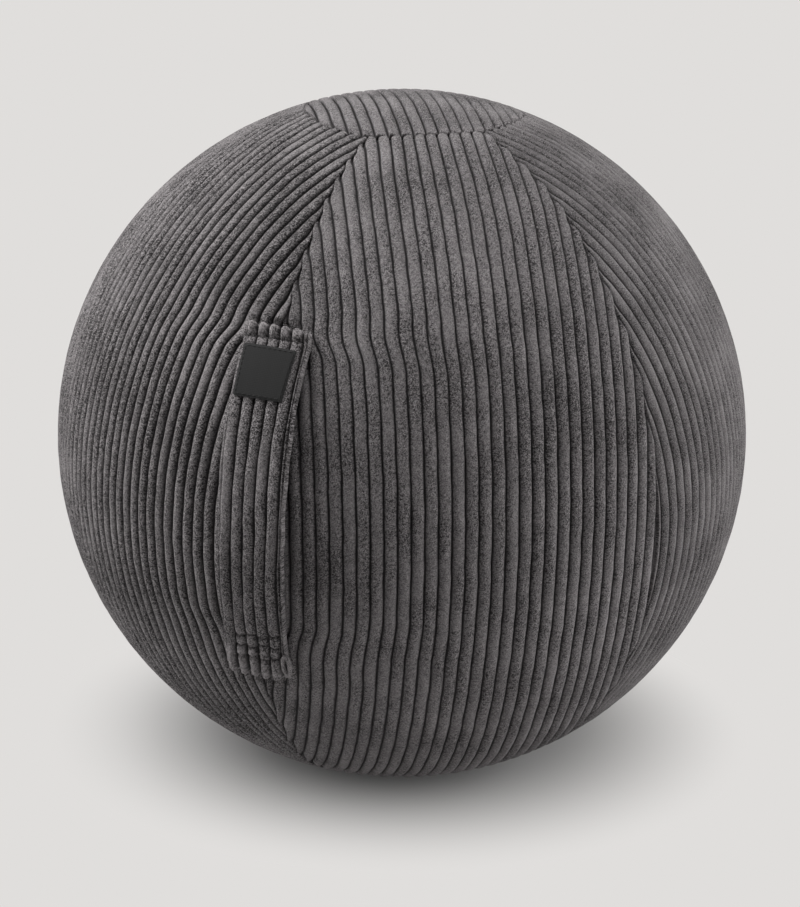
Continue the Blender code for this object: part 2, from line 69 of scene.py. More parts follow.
# nodes: maths on a Wire adds Math nodes, any other node comes from Wire.node
class Wire:
    def __init__(self, tree, socket=None):
        self.tree = tree
        self.socket = socket

    def node(self, kind, settings=None, inputs=None, output=0):
        made = self.tree.nodes.new(kind)
        for name, value in (settings or {}).items():
            setattr(made, name, value)
        for name, value in (inputs or {}).items():
            if isinstance(value, Wire):
                self.tree.links.new(value.socket, made.inputs[name])
            else:
                made.inputs[name].default_value = value
        return Wire(self.tree, made.outputs[output])

    def maths(self, operation, first, second):
        return self.node("ShaderNodeMath", {"operation": operation}, {0: first, 1: second})

    def __add__(self, other):
        return self.maths("ADD", self, other)

    def __sub__(self, other):
        return self.maths("SUBTRACT", self, other)

    def __rsub__(self, other):
        return self.maths("SUBTRACT", other, self)

    def __mul__(self, other):
        return self.maths("MULTIPLY", self, other)

    __radd__ = __add__
    __rmul__ = __mul__

    def clamped(self, low, high):
        return self.node("ShaderNodeClamp", {}, {"Value": self, "Min": low, "Max": high})

    def noise(self, place, scale, detail=2.0, rough=0.5):
        return self.node("ShaderNodeTexNoise", {}, {"Vector": place, "Scale": scale, "Detail": detail,
                                                    "Roughness": rough})

    def wave(self, place, direction, scale, distortion, detail=1.0):
        return self.node("ShaderNodeTexWave", {"bands_direction": direction},
                         {"Vector": place, "Scale": scale, "Distortion": distortion, "Detail": detail})

    def place(self):
        return self.node("ShaderNodeTexCoord", {}, {}, "Object")

    def stretched(self, place, amounts):
        return self.node("ShaderNodeVectorMath", {"operation": 'MULTIPLY'}, {0: place, 1: amounts})

    def attribute(self, name, output):
        return self.node("ShaderNodeAttribute", {"attribute_name": name}, {}, output)

    def mixed(self, factor, first, second):
        return self.node("ShaderNodeMix", {"data_type": 'RGBA'}, {0: factor, 6: first, 7: second}, 2)

    def bump(self, height, strength, distance):
        return self.node("ShaderNodeBump", {}, {"Height": height, "Strength": strength, "Distance": distance})


def newMaterial(name, constants):
    made = bpy.data.materials.new(name)
    made.use_nodes = True
    shader = made.node_tree.nodes["Principled BSDF"]
    for socket, value in constants.items():
        shader.inputs[socket].default_value = value
    wire = Wire(made.node_tree)

    def link(socket, value):
        made.node_tree.links.new(value.socket, shader.inputs[socket])

    return made, wire, link


def dress(wire, link, look, grain, rough, bump):
    # one grain drives the colour, the roughness (level, change) and the bump (strength, depth)
    link("Base Color", wire.mixed(grain, look["dark"], look["light"]))
    link("Roughness", grain * rough[1] + rough[0])
    link("Normal", wire.bump(grain, *bump))


def grey(value, warm=0.0):
    return (value * (1 + warm), value, value * (1 + 0.2 * warm), 1)


# corduroy: weave holds metres across and along the ribs, and the pile mask runs from 0 in a groove to 1 on a rib; its
# low values give the bare groove floor its dark colour, painted darker as groove shade, and also paint shade at
# seams, stitch rows and the strap's ends
corduroyLook = {
    # the deep colour is the bare groove floor's, painted darker as groove shade
    "deep": grey(0.036, 0.07), "dark": grey(0.026, 0.07), "light": grey(0.220, 0.07),
    "pileScale": 1350.0, "ruffleScale": 75.0, "patchScale": 15.0, "bump": 1.0, "bumpDepth": 1.7 * mm,
    "fleckFlat": 1.9, "fleckRuffled": 1.6, "patchTone": 0.7, "brushedTone": 0.08, "wornTone": 0.77, "meanTone": 0.415,
    "sheen": 0.05, "sheenRoughness": 0.45, "roughness": 0.95,
}


def corduroyMaterial():
    look = corduroyLook
    made, wire, link = newMaterial("corduroy", {
        "Sheen Weight": look["sheen"], "Sheen Roughness": look["sheenRoughness"],
        "Sheen Tint": grey(0.8, 0.03), "Specular IOR Level": 0.02})
    weave = wire.attribute("weave", 1)
    pile = wire.attribute("pile", 2)
    nap = wire.attribute("nap", 2)  # how strongly the pile of a panel is ruffled
    worn = wire.attribute("worn", 2)  # painted light: the strap's stubs and loop are painted paler, as if lit where they stand out
    slanted = wire.node("ShaderNodeVectorRotate", {"rotation_type": 'Z_AXIS'}, {"Vector": weave, "Angle": 0.6})
    fine = wire.noise(wire.stretched(slanted, (1.0, 0.8, 1.0)), look["pileScale"], 1.0, 0.5)
    tuft = wire.noise(wire.stretched(slanted, (0.9, 0.6, 1.0)), look["pileScale"] * 0.4, 1.5)
    patch = wire.noise(wire.stretched(weave, (0.55, 1.0, 1.0)), look["patchScale"], 3.0, 0.55)
    ruffle = wire.noise(wire.stretched(weave, (1.0, 0.3, 1.0)), look["ruffleScale"], 1.0)
    ruffled = ((ruffle - 0.5) * 4 + 0.5).clamped(0, 1)  # 0 where the pile is brushed flat
    fleck = fine * 0.75 + tuft * 0.25
    flecked = ruffled * look["fleckRuffled"] + look["fleckFlat"]
    tone = (fleck - 0.5) * flecked * nap + (patch - 0.5) * look["patchTone"]
    tone = tone + (0.5 - ruffled) * look["brushedTone"] + worn * look["wornTone"] + look["meanTone"]
    cloth = wire.mixed(tone.clamped(0, 1), look["dark"], look["light"])
    # painted shade: the groove floor, seam creases, stitch rows and strap ends take the dark groove colour
    link("Base Color", wire.mixed(pile, look["deep"], cloth))
    link("Roughness", (fleck - 0.5) * 0.15 + look["roughness"])
    link("Normal", wire.bump(fleck * (ruffled * 0.8 + 0.4) * nap, look["bump"], look["bumpDepth"]))
    return made


corduroy = corduroyMaterial()
print("corduroy ready")


# places on the ball
def outward(azimuth):
    return np.array((math.sin(azimuth), -math.cos(azimuth), 0.0))


def eastward(azimuth):
    return np.array((math.cos(azimuth), math.sin(azimuth), 0.0))


def onBall(latitude, azimuth, reach):
    # latitude, azimuth and reach are arrays of one shape
    level = np.cos(latitude)
    spread = np.stack((level * np.sin(azimuth), -level * np.cos(azimuth), np.sin(latitude)), -1)
    return centre + spread * np.asarray(reach)[..., None]


def smooth(low, high, value):
    share = np.clip((value - low) / (high - low), 0, 1)
    return share * share * (3 - 2 * share)


def bell(value, wide):
    return np.exp(-(value / wide) ** 2)


def unit(vectors):
    return vectors / np.maximum(np.linalg.norm(vectors, axis=-1, keepdims=True), 1e-12)


def rounded(normal, aside, reach):
    # a place beside the middle plane, bent round the ball
    angle = aside / reach
    return normal * (reach * np.cos(angle))[..., None] + east * (reach * np.sin(angle))[..., None]


def numbered(columns, rows, start=0):
    return np.arange(columns * rows).reshape(columns, rows) + start


def gridFaces(index):
    # index holds vertex numbers in columns and rows, and a column of one number closes to a point
    quads = np.stack((index[:-1, :-1], index[1:, :-1], index[1:, 1:], index[:-1, 1:]), -1).reshape(-1, 4)
    clean = []
    for quad in quads.tolist():
        face = [spot for number, spot in enumerate(quad) if spot != quad[number - 1]]
        if len(face) > 2:
            clean.append(face)
    return clean


def keepUsed(points, faces):
    # drops the points that no face uses and numbers the others afresh
    used = np.unique(np.concatenate([np.ravel(face) for face in faces]))
    fresh = np.full(len(points), -1)
    fresh[used] = np.arange(len(used))
    return points[used], [[int(fresh[spot]) for spot in face] for face in faces], used


def ringAround(first, second, turn):
    return first[:, None] * np.cos(turn)[None, :, None] + second[:, None] * np.sin(turn)[None, :, None]


def tubeRings(points, lean, thick, sides):
    # rings round a path, lean is a direction that is never along the path
    heading = unit(np.gradient(points, axis=0))
    first = unit(np.cross(heading, lean))
    turn = np.linspace(0, fullTurn, sides, endpoint=False)
    ring = ringAround(first, np.cross(first, heading), turn)
    return points[:, None] + ring * np.broadcast_to(thick, len(points))[:, None, None]


def ringFaces(rows, around, start):
    index = numbered(rows, around, start)
    faces = gridFaces(np.concatenate((index, index[:, :1]), 1))
    return faces + [index[0].tolist()[::-1], index[-1].tolist()]


def newPiece(name, points, faces, material, attributes=None):
    data = bpy.data.meshes.new(name)
    data.from_pydata(points.tolist(), [], faces)
    shape = bmesh.new()
    shape.from_mesh(data)
    bmesh.ops.recalc_face_normals(shape, faces=shape.faces)
    if shape.calc_volume(signed=True) < 0:
        bmesh.ops.reverse_faces(shape, faces=shape.faces)
    shape.to_mesh(data)
    shape.free()
    data.shade_smooth()
    data.set_sharp_from_angle(angle=65 * deg)
    for key, values in (attributes or {}).items():
        kind, field = ('FLOAT', "value") if values.ndim == 1 else ('FLOAT_VECTOR', "vector")
        data.attributes.new(key, kind, 'POINT').data.foreach_set(field, values.astype(np.float32).ravel())
    data.materials.append(material)
    piece = bpy.data.objects.new(name, data)
    bpy.context.scene.collection.objects.link(piece)
    return piece


def settle(piece, node):
    # a piece that stands for a node of the ball
    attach(piece, "ball")
    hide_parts(node)


# ribbed cover: every panel is cut with its ribs running straight through its middle
cover = {
    "pitch": 0.03301 * radius, "ribHeight": 4.1 * mm, "ribWidth": 0.92, "round": 2.0, "thickness": 5.5 * mm,
    "seamTuck": 0.7 * mm, "seamRound": 2.2 * mm, "seamRest": 0.66, "seamCrease": 0.7 * mm, "creaseRest": 0.45,
    "seamGap": 0.15 * mm, "capCorner": 70.6 * deg, "capBow": 1.2 * deg, "capTooth": 1.3 * mm,
    # where the top cap is cut shorter: azimuth, width and size
    "capLift": ((-60 * deg, 26 * deg, 2.7 * deg), (60 * deg, 22 * deg, 0.9 * deg)),
    "wander": 0.16 * mm, "wanderWaves": ((0.16, 1.0), (0.071, 0.55), (0.034, 0.3)),  # wave length, size
    "ruffleHigh": 0.09, "ruffleAside": 0.3 * mm, "ruffleWaves": ((0.26, 0.4), (0.13, 0.35), (0.078, 0.25)),
    "wanderFade": 30 * mm, "capWanderFade": 20 * mm, "layFade": 40 * mm, "leanReach": 0.6,
    "pressedFrom": 50 * deg, "pressedTo": 76 * deg, "pressedDeep": 0.2, "pressedRound": 6.0, "pressedGap": 0.03,
    # the groove floor's dark band and the seam creases are painted dark as painted shade
    "bareTo": 0.94, "bareSeam": (0.1, 0.6), "rows": 210, "innerRows": 40, "rowCrowding": 0.86,
    "profile": (-1.0, -0.9, -0.87, -0.77, -0.54, -0.2, 0.2, 0.54, 0.77, 0.87, 0.9),
    "tipMargin": 1.3 * mm, "tipSteps": (0.06, 0.25, 0.6, 1.1), "clothStep": 0.37,
}
ribStep = cover["pitch"] / radius
goreHalf = 30 * deg
goreNames = ("gore_front", "gore_right", "gore_rear_right", "gore_rear_left", "gore_far_left", "gore_left")
groovePlace = {"gore_front": 0.0222, "gore_left": 0.0222, "gore_right": 0.0237}
evenGroove = 0.012
# how a panel's ribs lie beside their even places: lean is metres east for each radian up, bow is metres at its
# middle; each panel also sets how wide its groove floor is painted dark as groove shade
ribLay = {"gore_left": {"lean": -8 * mm, "bow": 4.0 * mm, "nap": 1.15, "grain": 0.8, "bareFrom": 0.62},
          "gore_right": {"lean": 1 * mm, "bow": 4.6 * mm, "nap": 1.0, "grain": 1.0, "bareFrom": 0.76}}
evenLay = {"lean": 0.0, "bow": 0.0, "nap": 1.0, "grain": 1.0, "bareFrom": 0.76}
zipCut = {"half": 6.0 * mm, "top": 14.0 * deg, "length": 0.320, "tail": 6.0 * mm, "ramp": 10.0 * mm,
          "wall": 5.0 * mm, "lean": 0.3 * mm, "seam": 10 * mm, "seamPress": 0.75, "seamWide": 1.5 * mm,
          "seamTail": 3 * mm, "seamSteps": 400}


def pressOf(latitude):
    # sitting flattens the ribs near the top, from 0 to 1
    return smooth(cover["pressedFrom"], cover["pressedTo"], latitude)


def ribShape(across, latitude=0.0):
    # across is -1 and 1 in the grooves beside a rib
    power = cover["round"] + (cover["pressedRound"] - cover["round"]) * pressOf(latitude)
    width = cover["ribWidth"] - cover["pressedGap"] * pressOf(latitude)
    return np.maximum(1 - np.abs(across / width) ** power, 0) ** 0.5


def pileAndShadeOf(across, bareFrom):
    # the groove's floor is bare cloth, painted darker as groove shade
    return 1 - smooth(bareFrom, cover["bareTo"], np.abs(across))


def ribColumns(low, high, groove):
    # places across a panel, with the share of a rib there and which rib it is
    places = []
    for rib in range(math.floor((low - groove) / ribStep) - 1, math.ceil((high - groove) / ribStep) + 1):
        middle = groove + (rib + 0.5) * ribStep
        places += [(middle + share * ribStep / 2, share, rib) for share in cover["profile"]]
    tip = cover["tipMargin"] / radius
    inside = [place for place in places if low + tip < place[0] < high - tip]
    for end, inwards in ((low, 1), (high, -1)):
        for away in (*cover["tipSteps"], 0):
            place = end + inwards * away * mm / radius
            rib = math.floor((place - groove) / ribStep)
            inside.append((place, 2 * ((place - groove) / ribStep - rib) - 1, rib))
    inside.sort()
    return (np.array(column, float) for column in zip(*inside))


def wrapped(angle):
    return (angle + math.pi) % fullTurn - math.pi


def toothOf(across, number):
    # from -1 in a groove of a gore to 1 on its ribs, number is the gore's
    grooves = np.array([groovePlace.get(name, evenGroove) for name in goreNames])[number % len(goreNames)]
    phase = (across - grooves) / ribStep
    return 1 - 2 * np.abs(2 * (phase - np.floor(phase)) - 1)


def capEdge(azimuth, pole):
    # latitude of the cut between a cap and the gores
    fromMiddle = azimuth % (2 * goreHalf) - goreHalf
    number = np.floor(azimuth / (2 * goreHalf)).astype(int)
    tooth = toothOf(np.arcsin(math.cos(cover["capCorner"]) * np.sin(fromMiddle)), number)
    edge = cover["capCorner"] + cover["capBow"] * np.cos(3 * fromMiddle) + cover["capTooth"] / radius * tooth
    if pole > 0:
        for place, wide, size in cover["capLift"]:
            edge = edge + size * bell(wrapped(azimuth - place), wide)
    return edge


def edgeReach(across, middle, pole, side, gap, tries, pace):
    # the angle along a rib at which it meets a cap's edge, side is -1 past the pole
    reach = np.full_like(across, cover["capCorner"])
    for _ in range(tries):
        azimuth = np.arctan2(np.sin(across), side * np.cos(across) * np.cos(reach))
        edge = capEdge(azimuth + middle, pole) + gap
        goal = np.arcsin(np.clip(np.sin(edge) / np.cos(across), -1, 1))
        reach = reach + pace * (goal - reach)
    return reach


def reachOfRib(across, middle, pole):
    # how far a gore's rib runs from the equator before it meets a seam or a cap
    gap = cover["seamGap"] / radius
    seam = np.arccos(np.clip(np.tan(np.abs(across)) / math.tan(goreHalf - gap), 0, 1))
    return np.minimum(seam, edgeReach(across, middle, pole, 1, -gap, 20, 0.6))


def wanderOf(rib, along, seed):
    # ribs wander a little from their straight line, neighbours nearly together
    draws = np.random.RandomState(seed)
    total = np.zeros(np.broadcast(rib, along).shape)
    for wave, size in cover["wanderWaves"]:
        phase, lean = draws.uniform(0, 6.28), draws.uniform(0.25, 0.8)
        total = total + size * np.sin(along / wave * 6.28 + lean * rib + phase)
    return total * cover["wander"]


def ruffleOf(rib, along, seed):
    # every rib is a little thinner and thicker along its run, from -1 to 1
    draws = np.random.RandomState(seed + 50)
    number = (rib - rib.min()).astype(int)
    total = np.zeros(along.shape)
    for wave, size in cover["ruffleWaves"]:
        phases = draws.uniform(0, 6.28, int(number.max()) + 1)
        total = total + size * np.sin(along / wave * 6.28 + phases[number])
    return total


def closedPanel(name, outer, inner, every, attributes, material):
    # outer and inner are grids of points whose end columns are single tips, joined by a rim
    columns, rows = outer.shape[:2]
    innerColumns, innerRows = inner.shape[:2]
    index = numbered(columns, rows)
    under = numbered(innerColumns, innerRows, columns * rows)
    for grid in (index, under):
        grid[0] = grid[0, 0]
        grid[-1] = grid[-1, 0]
    faces = gridFaces(index) + gridFaces(under[:, ::-1])
    for row in (0, -1):
        for number in range(innerColumns - 1):
            run = index[every[number]:every[number + 1] + 1, row].tolist()
            face = run + [under[number + 1, row], under[number, row]]
            faces.append(face if row == 0 else face[::-1])
    points = np.concatenate((outer.reshape(-1, 3), inner.reshape(-1, 3)))
    points, faces, used = keepUsed(points, faces)
    padded = {}
    for key, values in attributes.items():
        tail = np.zeros((inner.shape[0] * inner.shape[1], *values.shape[2:]))
        padded[key] = np.concatenate((values.reshape(-1, *values.shape[2:]), tail))[used]
    return newPiece(name, points, faces, material, padded)


def crowdedRows(count):
    share = np.linspace(0, 1, count)
    return share - cover["rowCrowding"] * np.sin(fullTurn * share) / fullTurn


def edgeRound(distance):
    # lowest at a seam, 1 where the panel has its full height
    share = np.clip(distance / cover["seamRound"], 0, 1)
    crease = cover["creaseRest"] + (1 - cover["creaseRest"]) * smooth(0, cover["seamCrease"], distance)
    return (cover["seamRest"] + (1 - cover["seamRest"]) * np.sqrt(share * (2 - share))) * crease


def innerColumnsOf(share):
    # the inside of a panel only needs the columns in its grooves
    grooves = np.flatnonzero(np.abs(share + 1) < 1e-6).tolist()
    return sorted({0, len(share) - 1, *grooves})


# the strap's sewn ends pull the cover in, the cover bulges away from the strap between them,
# and the seam right of the front gore runs a little further round than its even share
strapPull = {"bulge": 3.2 * mm, "bulgeWide": 155 * mm, "top": 32.4 * deg, "bottom": -9.0 * deg,
             "blur": 1.2 * deg, "blurFrom": 30 * mm, "blurGrowth": 0.55, "ramp": 26 * mm, "pinchWide": 60 * mm,
             "pinches": ((34.6 * deg, 2.0 * deg, 4.0 * mm), (-13.5 * deg, 2.6 * deg, 3.0 * mm)),
             "dents": ((35.45 * deg, 3.4 * mm, 2.2 * mm), (-18.2 * deg, 3.4 * mm, 3.6 * mm)),
             "dentMiddle": -3.6 * mm, "dentHalf": 27 * mm, "dentSoft": 4 * mm, "deepest": 5.0 * mm}
seamDrift = {"azimuth": 62 * deg, "wide": 22 * deg, "size": 5.0 * mm,
             "fade": (52 * deg, 68 * deg), "zigzag": 1.8 * mm, "zigzagReach": 5 * mm,
             "zigzagFrom": (8 * deg, 16 * deg)}
topTug = {"latitude": 73 * deg, "tall": 10 * deg, "azimuth": 5 * deg, "wide": 22 * deg, "size": 5.0 * mm}


def zigzagOf(latitude, azimuth):
    # the round ends of one panel's ribs push into the next panel's at a seam
    seam = np.round(azimuth / (2 * goreHalf))
    away = wrapped(azimuth - seam * 2 * goreHalf) * radius * np.cos(latitude)
    tooth = toothOf(np.arcsin(np.cos(latitude) * math.sin(goreHalf)), seam.astype(int) - 1)
    atZip = np.abs(np.abs(seam) - 3) < 0.5
    tooth = np.where(atZip, 0, tooth * smooth(*seamDrift["zigzagFrom"], np.abs(latitude)))
    return seamDrift["zigzag"] * tooth * bell(away, seamDrift["zigzagReach"])


def driftOf(latitude, azimuth):
    # metres east that the cloth at a place lies beside its even pattern
    azimuth = wrapped(azimuth)
    aside = azimuth * radius * np.cos(latitude)
    away = np.abs(aside)
    blur = strapPull["blur"] + strapPull["blurGrowth"] * np.maximum(away - strapPull["blurFrom"], 0)
    window = smooth(strapPull["bottom"] - blur, strapPull["bottom"] + blur, latitude)
    window = window * (1 - smooth(strapPull["top"] - blur, strapPull["top"] + blur, latitude))
    pull = strapPull["bulge"] * window * np.exp(-(away / strapPull["bulgeWide"]) ** 4)
    for place, wide, size in strapPull["pinches"]:
        pull = pull - size * bell(latitude - place, wide) * np.exp(-away / strapPull["pinchWide"])
    pull = pull * np.sign(aside) * smooth(0, strapPull["ramp"], away)
    level = 1 - smooth(*seamDrift["fade"], np.abs(latitude))
    pull = pull + seamDrift["size"] * level * bell(azimuth - seamDrift["azimuth"], seamDrift["wide"])
    tug = bell(latitude - topTug["latitude"], topTug["tall"]) * bell(azimuth - topTug["azimuth"], topTug["wide"])
    return pull + topTug["size"] * tug + zigzagOf(latitude, azimuth)


def dentOf(latitude, azimuth):
    # the cover sinks where the strap's two ends are sewn down
    aside = wrapped(azimuth) * radius * np.cos(latitude) - strapPull["dentMiddle"]
    half, soft = strapPull["dentHalf"], strapPull["dentSoft"]
    within = 1 - smooth(half - soft, half + soft, np.abs(aside))
    return within * sum(deep * bell((latitude - place) * radius, wide) for place, deep, wide in strapPull["dents"])


def zipHalfGap(latitude):
    along = (zipCut["top"] - latitude) * radius
    past = np.maximum(-zipCut["tail"] - along, along - zipCut["length"] - zipCut["tail"])
    return zipCut["half"] * (1 - np.clip(past / zipCut["ramp"], 0, 1))


def coverDrop(height, full, side, latitude):
    # how far the cloth lies below the ball's radius, side is the distance to the zip's seam
    deep = cover["ribHeight"] * (1 + cover["pressedDeep"] * pressOf(latitude))
    drop = deep * (1 - height) + cover["seamTuck"] * (1 - full)
    if side is None:
        return drop
    sewn = zipCut["seamPress"] * bell(side - zipCut["seam"], zipCut["seamWide"])
    sewn = sewn * (zipHalfGap(latitude) > zipCut["half"] * 0.5)
    return drop + (cover["ribHeight"] - drop) * sewn * (drop < cover["ribHeight"])


def ribAngles(across, rib, along):
    # rib number, angle from the panel's middle, azimuth and latitude at every point of a panel's grid
    ribs = np.broadcast_to(rib[:, None], along.shape)
    fromMiddle = np.broadcast_to(across[:, None], along.shape)
    azimuth = np.arctan2(np.sin(fromMiddle), np.cos(fromMiddle) * np.cos(along))
    latitude = np.arcsin(np.clip(np.cos(fromMiddle) * np.sin(along), -1, 1))
    return ribs, fromMiddle, azimuth, latitude


def clothOf(fromMiddle, along, share, full, seed, lay):
    # what the corduroy's material reads at every point of a panel's grid
    weave = np.stack((fromMiddle * radius, along * radius, np.full_like(along, seed * cover["clothStep"])), -1)
    # painted shade in the seam creases: the cloth darkens where the panel's edge rounds down into a seam
    pile = pileAndShadeOf(share, lay["bareFrom"])[:, None] * smooth(*cover["bareSeam"], full)
    return {"weave": weave * lay["grain"], "pile": pile, "nap": np.full_like(along, lay["nap"])}


def goreGrid(across, share, rib, rows, middle, seed, zipSide, lay, outside):
    high, low = (reachOfRib(across, middle, pole)[:, None] for pole in (1, -1))
    along = (high + low) * crowdedRows(rows)[None, :] - low
    ribs, fromMiddle, azimuth, latitude = ribAngles(across, rib, along)
    level = radius * np.cos(latitude)
    toSides = [level * (goreHalf - side * azimuth) for side in (-1, 1)]
    caps = np.where(latitude > 0, capEdge(azimuth + middle, 1), capEdge(azimuth + middle, -1))
    toCap = radius * (caps - np.abs(latitude))
    side = None
    if zipSide:
        side = toSides[(zipSide + 1) // 2]
        gap = zipHalfGap(latitude)
        folded = np.clip(1 - side / np.maximum(gap, 1e-6), 0, 1) * (gap > 0.05 * mm)
        azimuth = azimuth - zipSide * (np.maximum(gap - side, 0) - zipCut["lean"] * folded) / level
        toSides[(zipSide + 1) // 2] = side - gap
    toSeam = np.minimum(np.minimum(*toSides), toCap)
    full = edgeRound(np.maximum(toSeam, 0))
    ruffle = ruffleOf(ribs, along, seed)
    shift = (wanderOf(ribs, along, seed) + cover["ruffleAside"] * ruffle) * smooth(0, cover["wanderFade"], toSeam)
    leaning = np.clip(along, -cover["leanReach"], cover["leanReach"])
    beside = lay["lean"] * leaning + lay["bow"] * np.cos(fromMiddle * math.pi / 2 / goreHalf) ** 2
    shift = shift + beside * smooth(0, cover["layFade"], toSeam) + driftOf(latitude, azimuth + middle)
    azimuth = azimuth + shift / level
    if not outside:
        return onBall(latitude, azimuth + middle, np.full_like(latitude, radius - cover["thickness"])), None
    height = ribShape(share[:, None], latitude) * full * (1 - cover["ruffleHigh"] * (1 + ruffle[::-1]) / 2)
    drop = coverDrop(height, full, side, latitude)
    drop = np.maximum(drop, np.minimum(drop + dentOf(latitude, azimuth + middle), strapPull["deepest"]))
    if zipSide:
        drop = drop + folded * (zipCut["wall"] - drop)
    points = onBall(latitude, azimuth + middle, radius - drop)
    points[..., 2] = np.maximum(points[..., 2], 0)
    return points, clothOf(fromMiddle, along, share, full, seed, lay)


def makeGore(number):
    name = goreNames[number]
    middle = (number + 0.5) * 2 * goreHalf
    zipSide = {2: 1, 3: -1}.get(number, 0)  # the zip lies east of one rear gore and west of the next
    edge = goreHalf - cover["seamGap"] / radius
    across, share, rib = ribColumns(-edge, edge, groovePlace.get(name, evenGroove))
    lay = ribLay.get(name, evenLay)
    outer, attributes = goreGrid(across, share, rib, cover["rows"], middle, number + 1, zipSide, lay, True)
    every = innerColumnsOf(share)
    inner, _ = goreGrid(across[every], share[every], rib[every], cover["innerRows"], middle, number + 1, zipSide, lay,
                        False)
    piece = closedPanel("panel_" + name, outer, inner, every, attributes, corduroy)
    settle(piece, name)


def capGrid(across, share, rib, rows, middle, pole, seed, outside):
    gap = cover["seamGap"] / radius
    near, far = (edgeReach(across, middle, pole, side, gap, 40, 0.5)[:, None] for side in (1, -1))
    along = near + (math.pi - far - near) * crowdedRows(rows)[None, :]
    ribs, fromMiddle, azimuth, latitude = ribAngles(across, rib, along)
    toSeam = np.maximum(radius * (latitude - capEdge(azimuth + middle, pole)), 0)
    full = edgeRound(toSeam)
    reach = np.full_like(latitude, radius - cover["thickness"])
    floor = cover["thickness"]
    attributes = None
    if outside:
        height = ribShape(share[:, None], pole * latitude) * full
        reach = radius - coverDrop(height, full, None, pole * latitude)
        floor = 0
        attributes = clothOf(fromMiddle, along, share, full, seed, evenLay)
    shift = wanderOf(ribs, along, seed) * smooth(0, cover["capWanderFade"], toSeam)
    points = onBall(pole * latitude, azimuth + middle, reach) + shift[..., None] * eastward(middle)
    points[..., 2] = np.maximum(points[..., 2], floor)
    return points, attributes


def makeCap(name, pole, seed, groove):
    middle = goreHalf
    around = np.linspace(0, fullTurn, 721)
    edge = np.arcsin(np.cos(capEdge(around, pole) + cover["seamGap"] / radius) * np.sin(around - middle))
    across, share, rib = ribColumns(edge.min(), edge.max(), groove)
    outer, attributes = capGrid(across, share, rib, cover["rows"] // 2, middle, pole, seed, True)
    every = innerColumnsOf(share)
    inner, _ = capGrid(across[every], share[every], rib[every], cover["innerRows"] // 2, middle, pole, seed, False)
    piece = closedPanel("panel_" + name, outer, inner, every, attributes, corduroy)
    settle(piece, name)


for goreNumber in range(len(goreNames)):
    makeGore(goreNumber)
makeCap("top_cap", 1, 11, 0.0322)
makeCap("bottom_cap", -1, 12, 0.012)
print("cover panels made")


# carrying strap: one folded strip of corduroy, sewn to the ball at its two ends
strap = {
    "length": 0.295, "width": 57 * mm, "latitude": 8.9 * deg, "rise": 8 * mm, "clearance": 0.3 * mm,
    "ribs": 5, "pitch": 9.8 * mm, "ribsLeft": -25.9 * mm, "ribWidth": 0.93, "ribRound": 2.3, "crest": 5.0 * mm,
    "groove": 1.7 * mm, "leftEdge": 1.7 * mm, "leastHigh": 0.1 * mm, "endRound": 3.4 * mm,
    # the stubs are painted paler as painted light, and their grooves are widened into painted shade
    "stubCrest": 6.6 * mm, "stubGroove": 0.4 * mm, "stubWidth": 0.87, "stubWorn": 0.3, "stubBare": 0.12,
    "stubRamp": (8 * mm, 15 * mm), "topStubRamp": 4 * mm, "crinkle": 0.8 * mm, "crinklePitch": 3.7 * mm,
    # start, stop and height of the two ridges of the corded edge, which sink towards the loop at their low end
    "beads": ((23.6 * mm, 26.2 * mm, 2.9 * mm), (26.4 * mm, 28.5 * mm, 4.3 * mm)), "beadBase": 0.5 * mm,
    "beadBack": (1.8 * mm, 0.8 * mm), "beadSink": 0.7, "beadSinks": (262 * mm, 271 * mm),
    "upperRow": 9.6 * mm, "upperCut": 63 * mm, "gripTop": 116.5 * mm, "gripEnd": 191.5 * mm, "lowerCut": 245 * mm,
    "lowerRow": 253 * mm,
    # rows of stitching: along, wide, depth and slant
    "pinches": ((9.6 * mm, 3.2 * mm, 0.85, 0.0), (251.2 * mm, 4.8 * mm, 1.0, -0.12),
                (261.8 * mm, 4.8 * mm, 1.0, -0.16), (272.5 * mm, 4.8 * mm, 0.9, -0.06)),
    "pinchBow": 1.2 * mm, "pinchJitter": 1.4 * mm, "pinchRagged": 0.5 * mm, "pinchNarrow": 0.1,
    # the rows of stitching and the last millimetre of each end are painted dark: painted shade in the creases and a
    # painted outline of shade at the ends
    "pinchLeast": 1.2 * mm, "pinchBare": 1.4, "pinchedEdges": (0.3, 0.1),
    "scallop": 4.4 * mm, "scallopRound": 2.4, "scallopBend": 14 * mm, "bareEnd": (-0.5 * mm, 0.8 * mm),
    "step": 1.6 * mm, "fineStep": 0.32, "fineReach": 6 * mm, "ribSteps": 14,
    "nap": 1.1, "grain": 0.82, "clothPlace": 9.1,
    "wanders": ((0.35 * mm, 61, 1.3), (0.2 * mm, 170, 2.1)),  # size, waves and change from rib to rib
    "topSlant": (1.8 * mm, -1.2 * mm), "topSlantFade": (2 * mm, 14 * mm),
    "sway": ((0.0, -3.8 * mm), (0.014, -1.0 * mm), (0.06, -0.3 * mm), (0.16, 2.3 * mm), (0.235, -1.0 * mm),
             (0.295, -3.4 * mm)),
}
strapSway = np.array(strap["sway"]).T


def strapRise(along):
    share = np.clip((along - strap["upperRow"]) / (strap["lowerRow"] - strap["upperRow"]), 0, 1)
    return strap["rise"] * np.sin(math.pi * share)


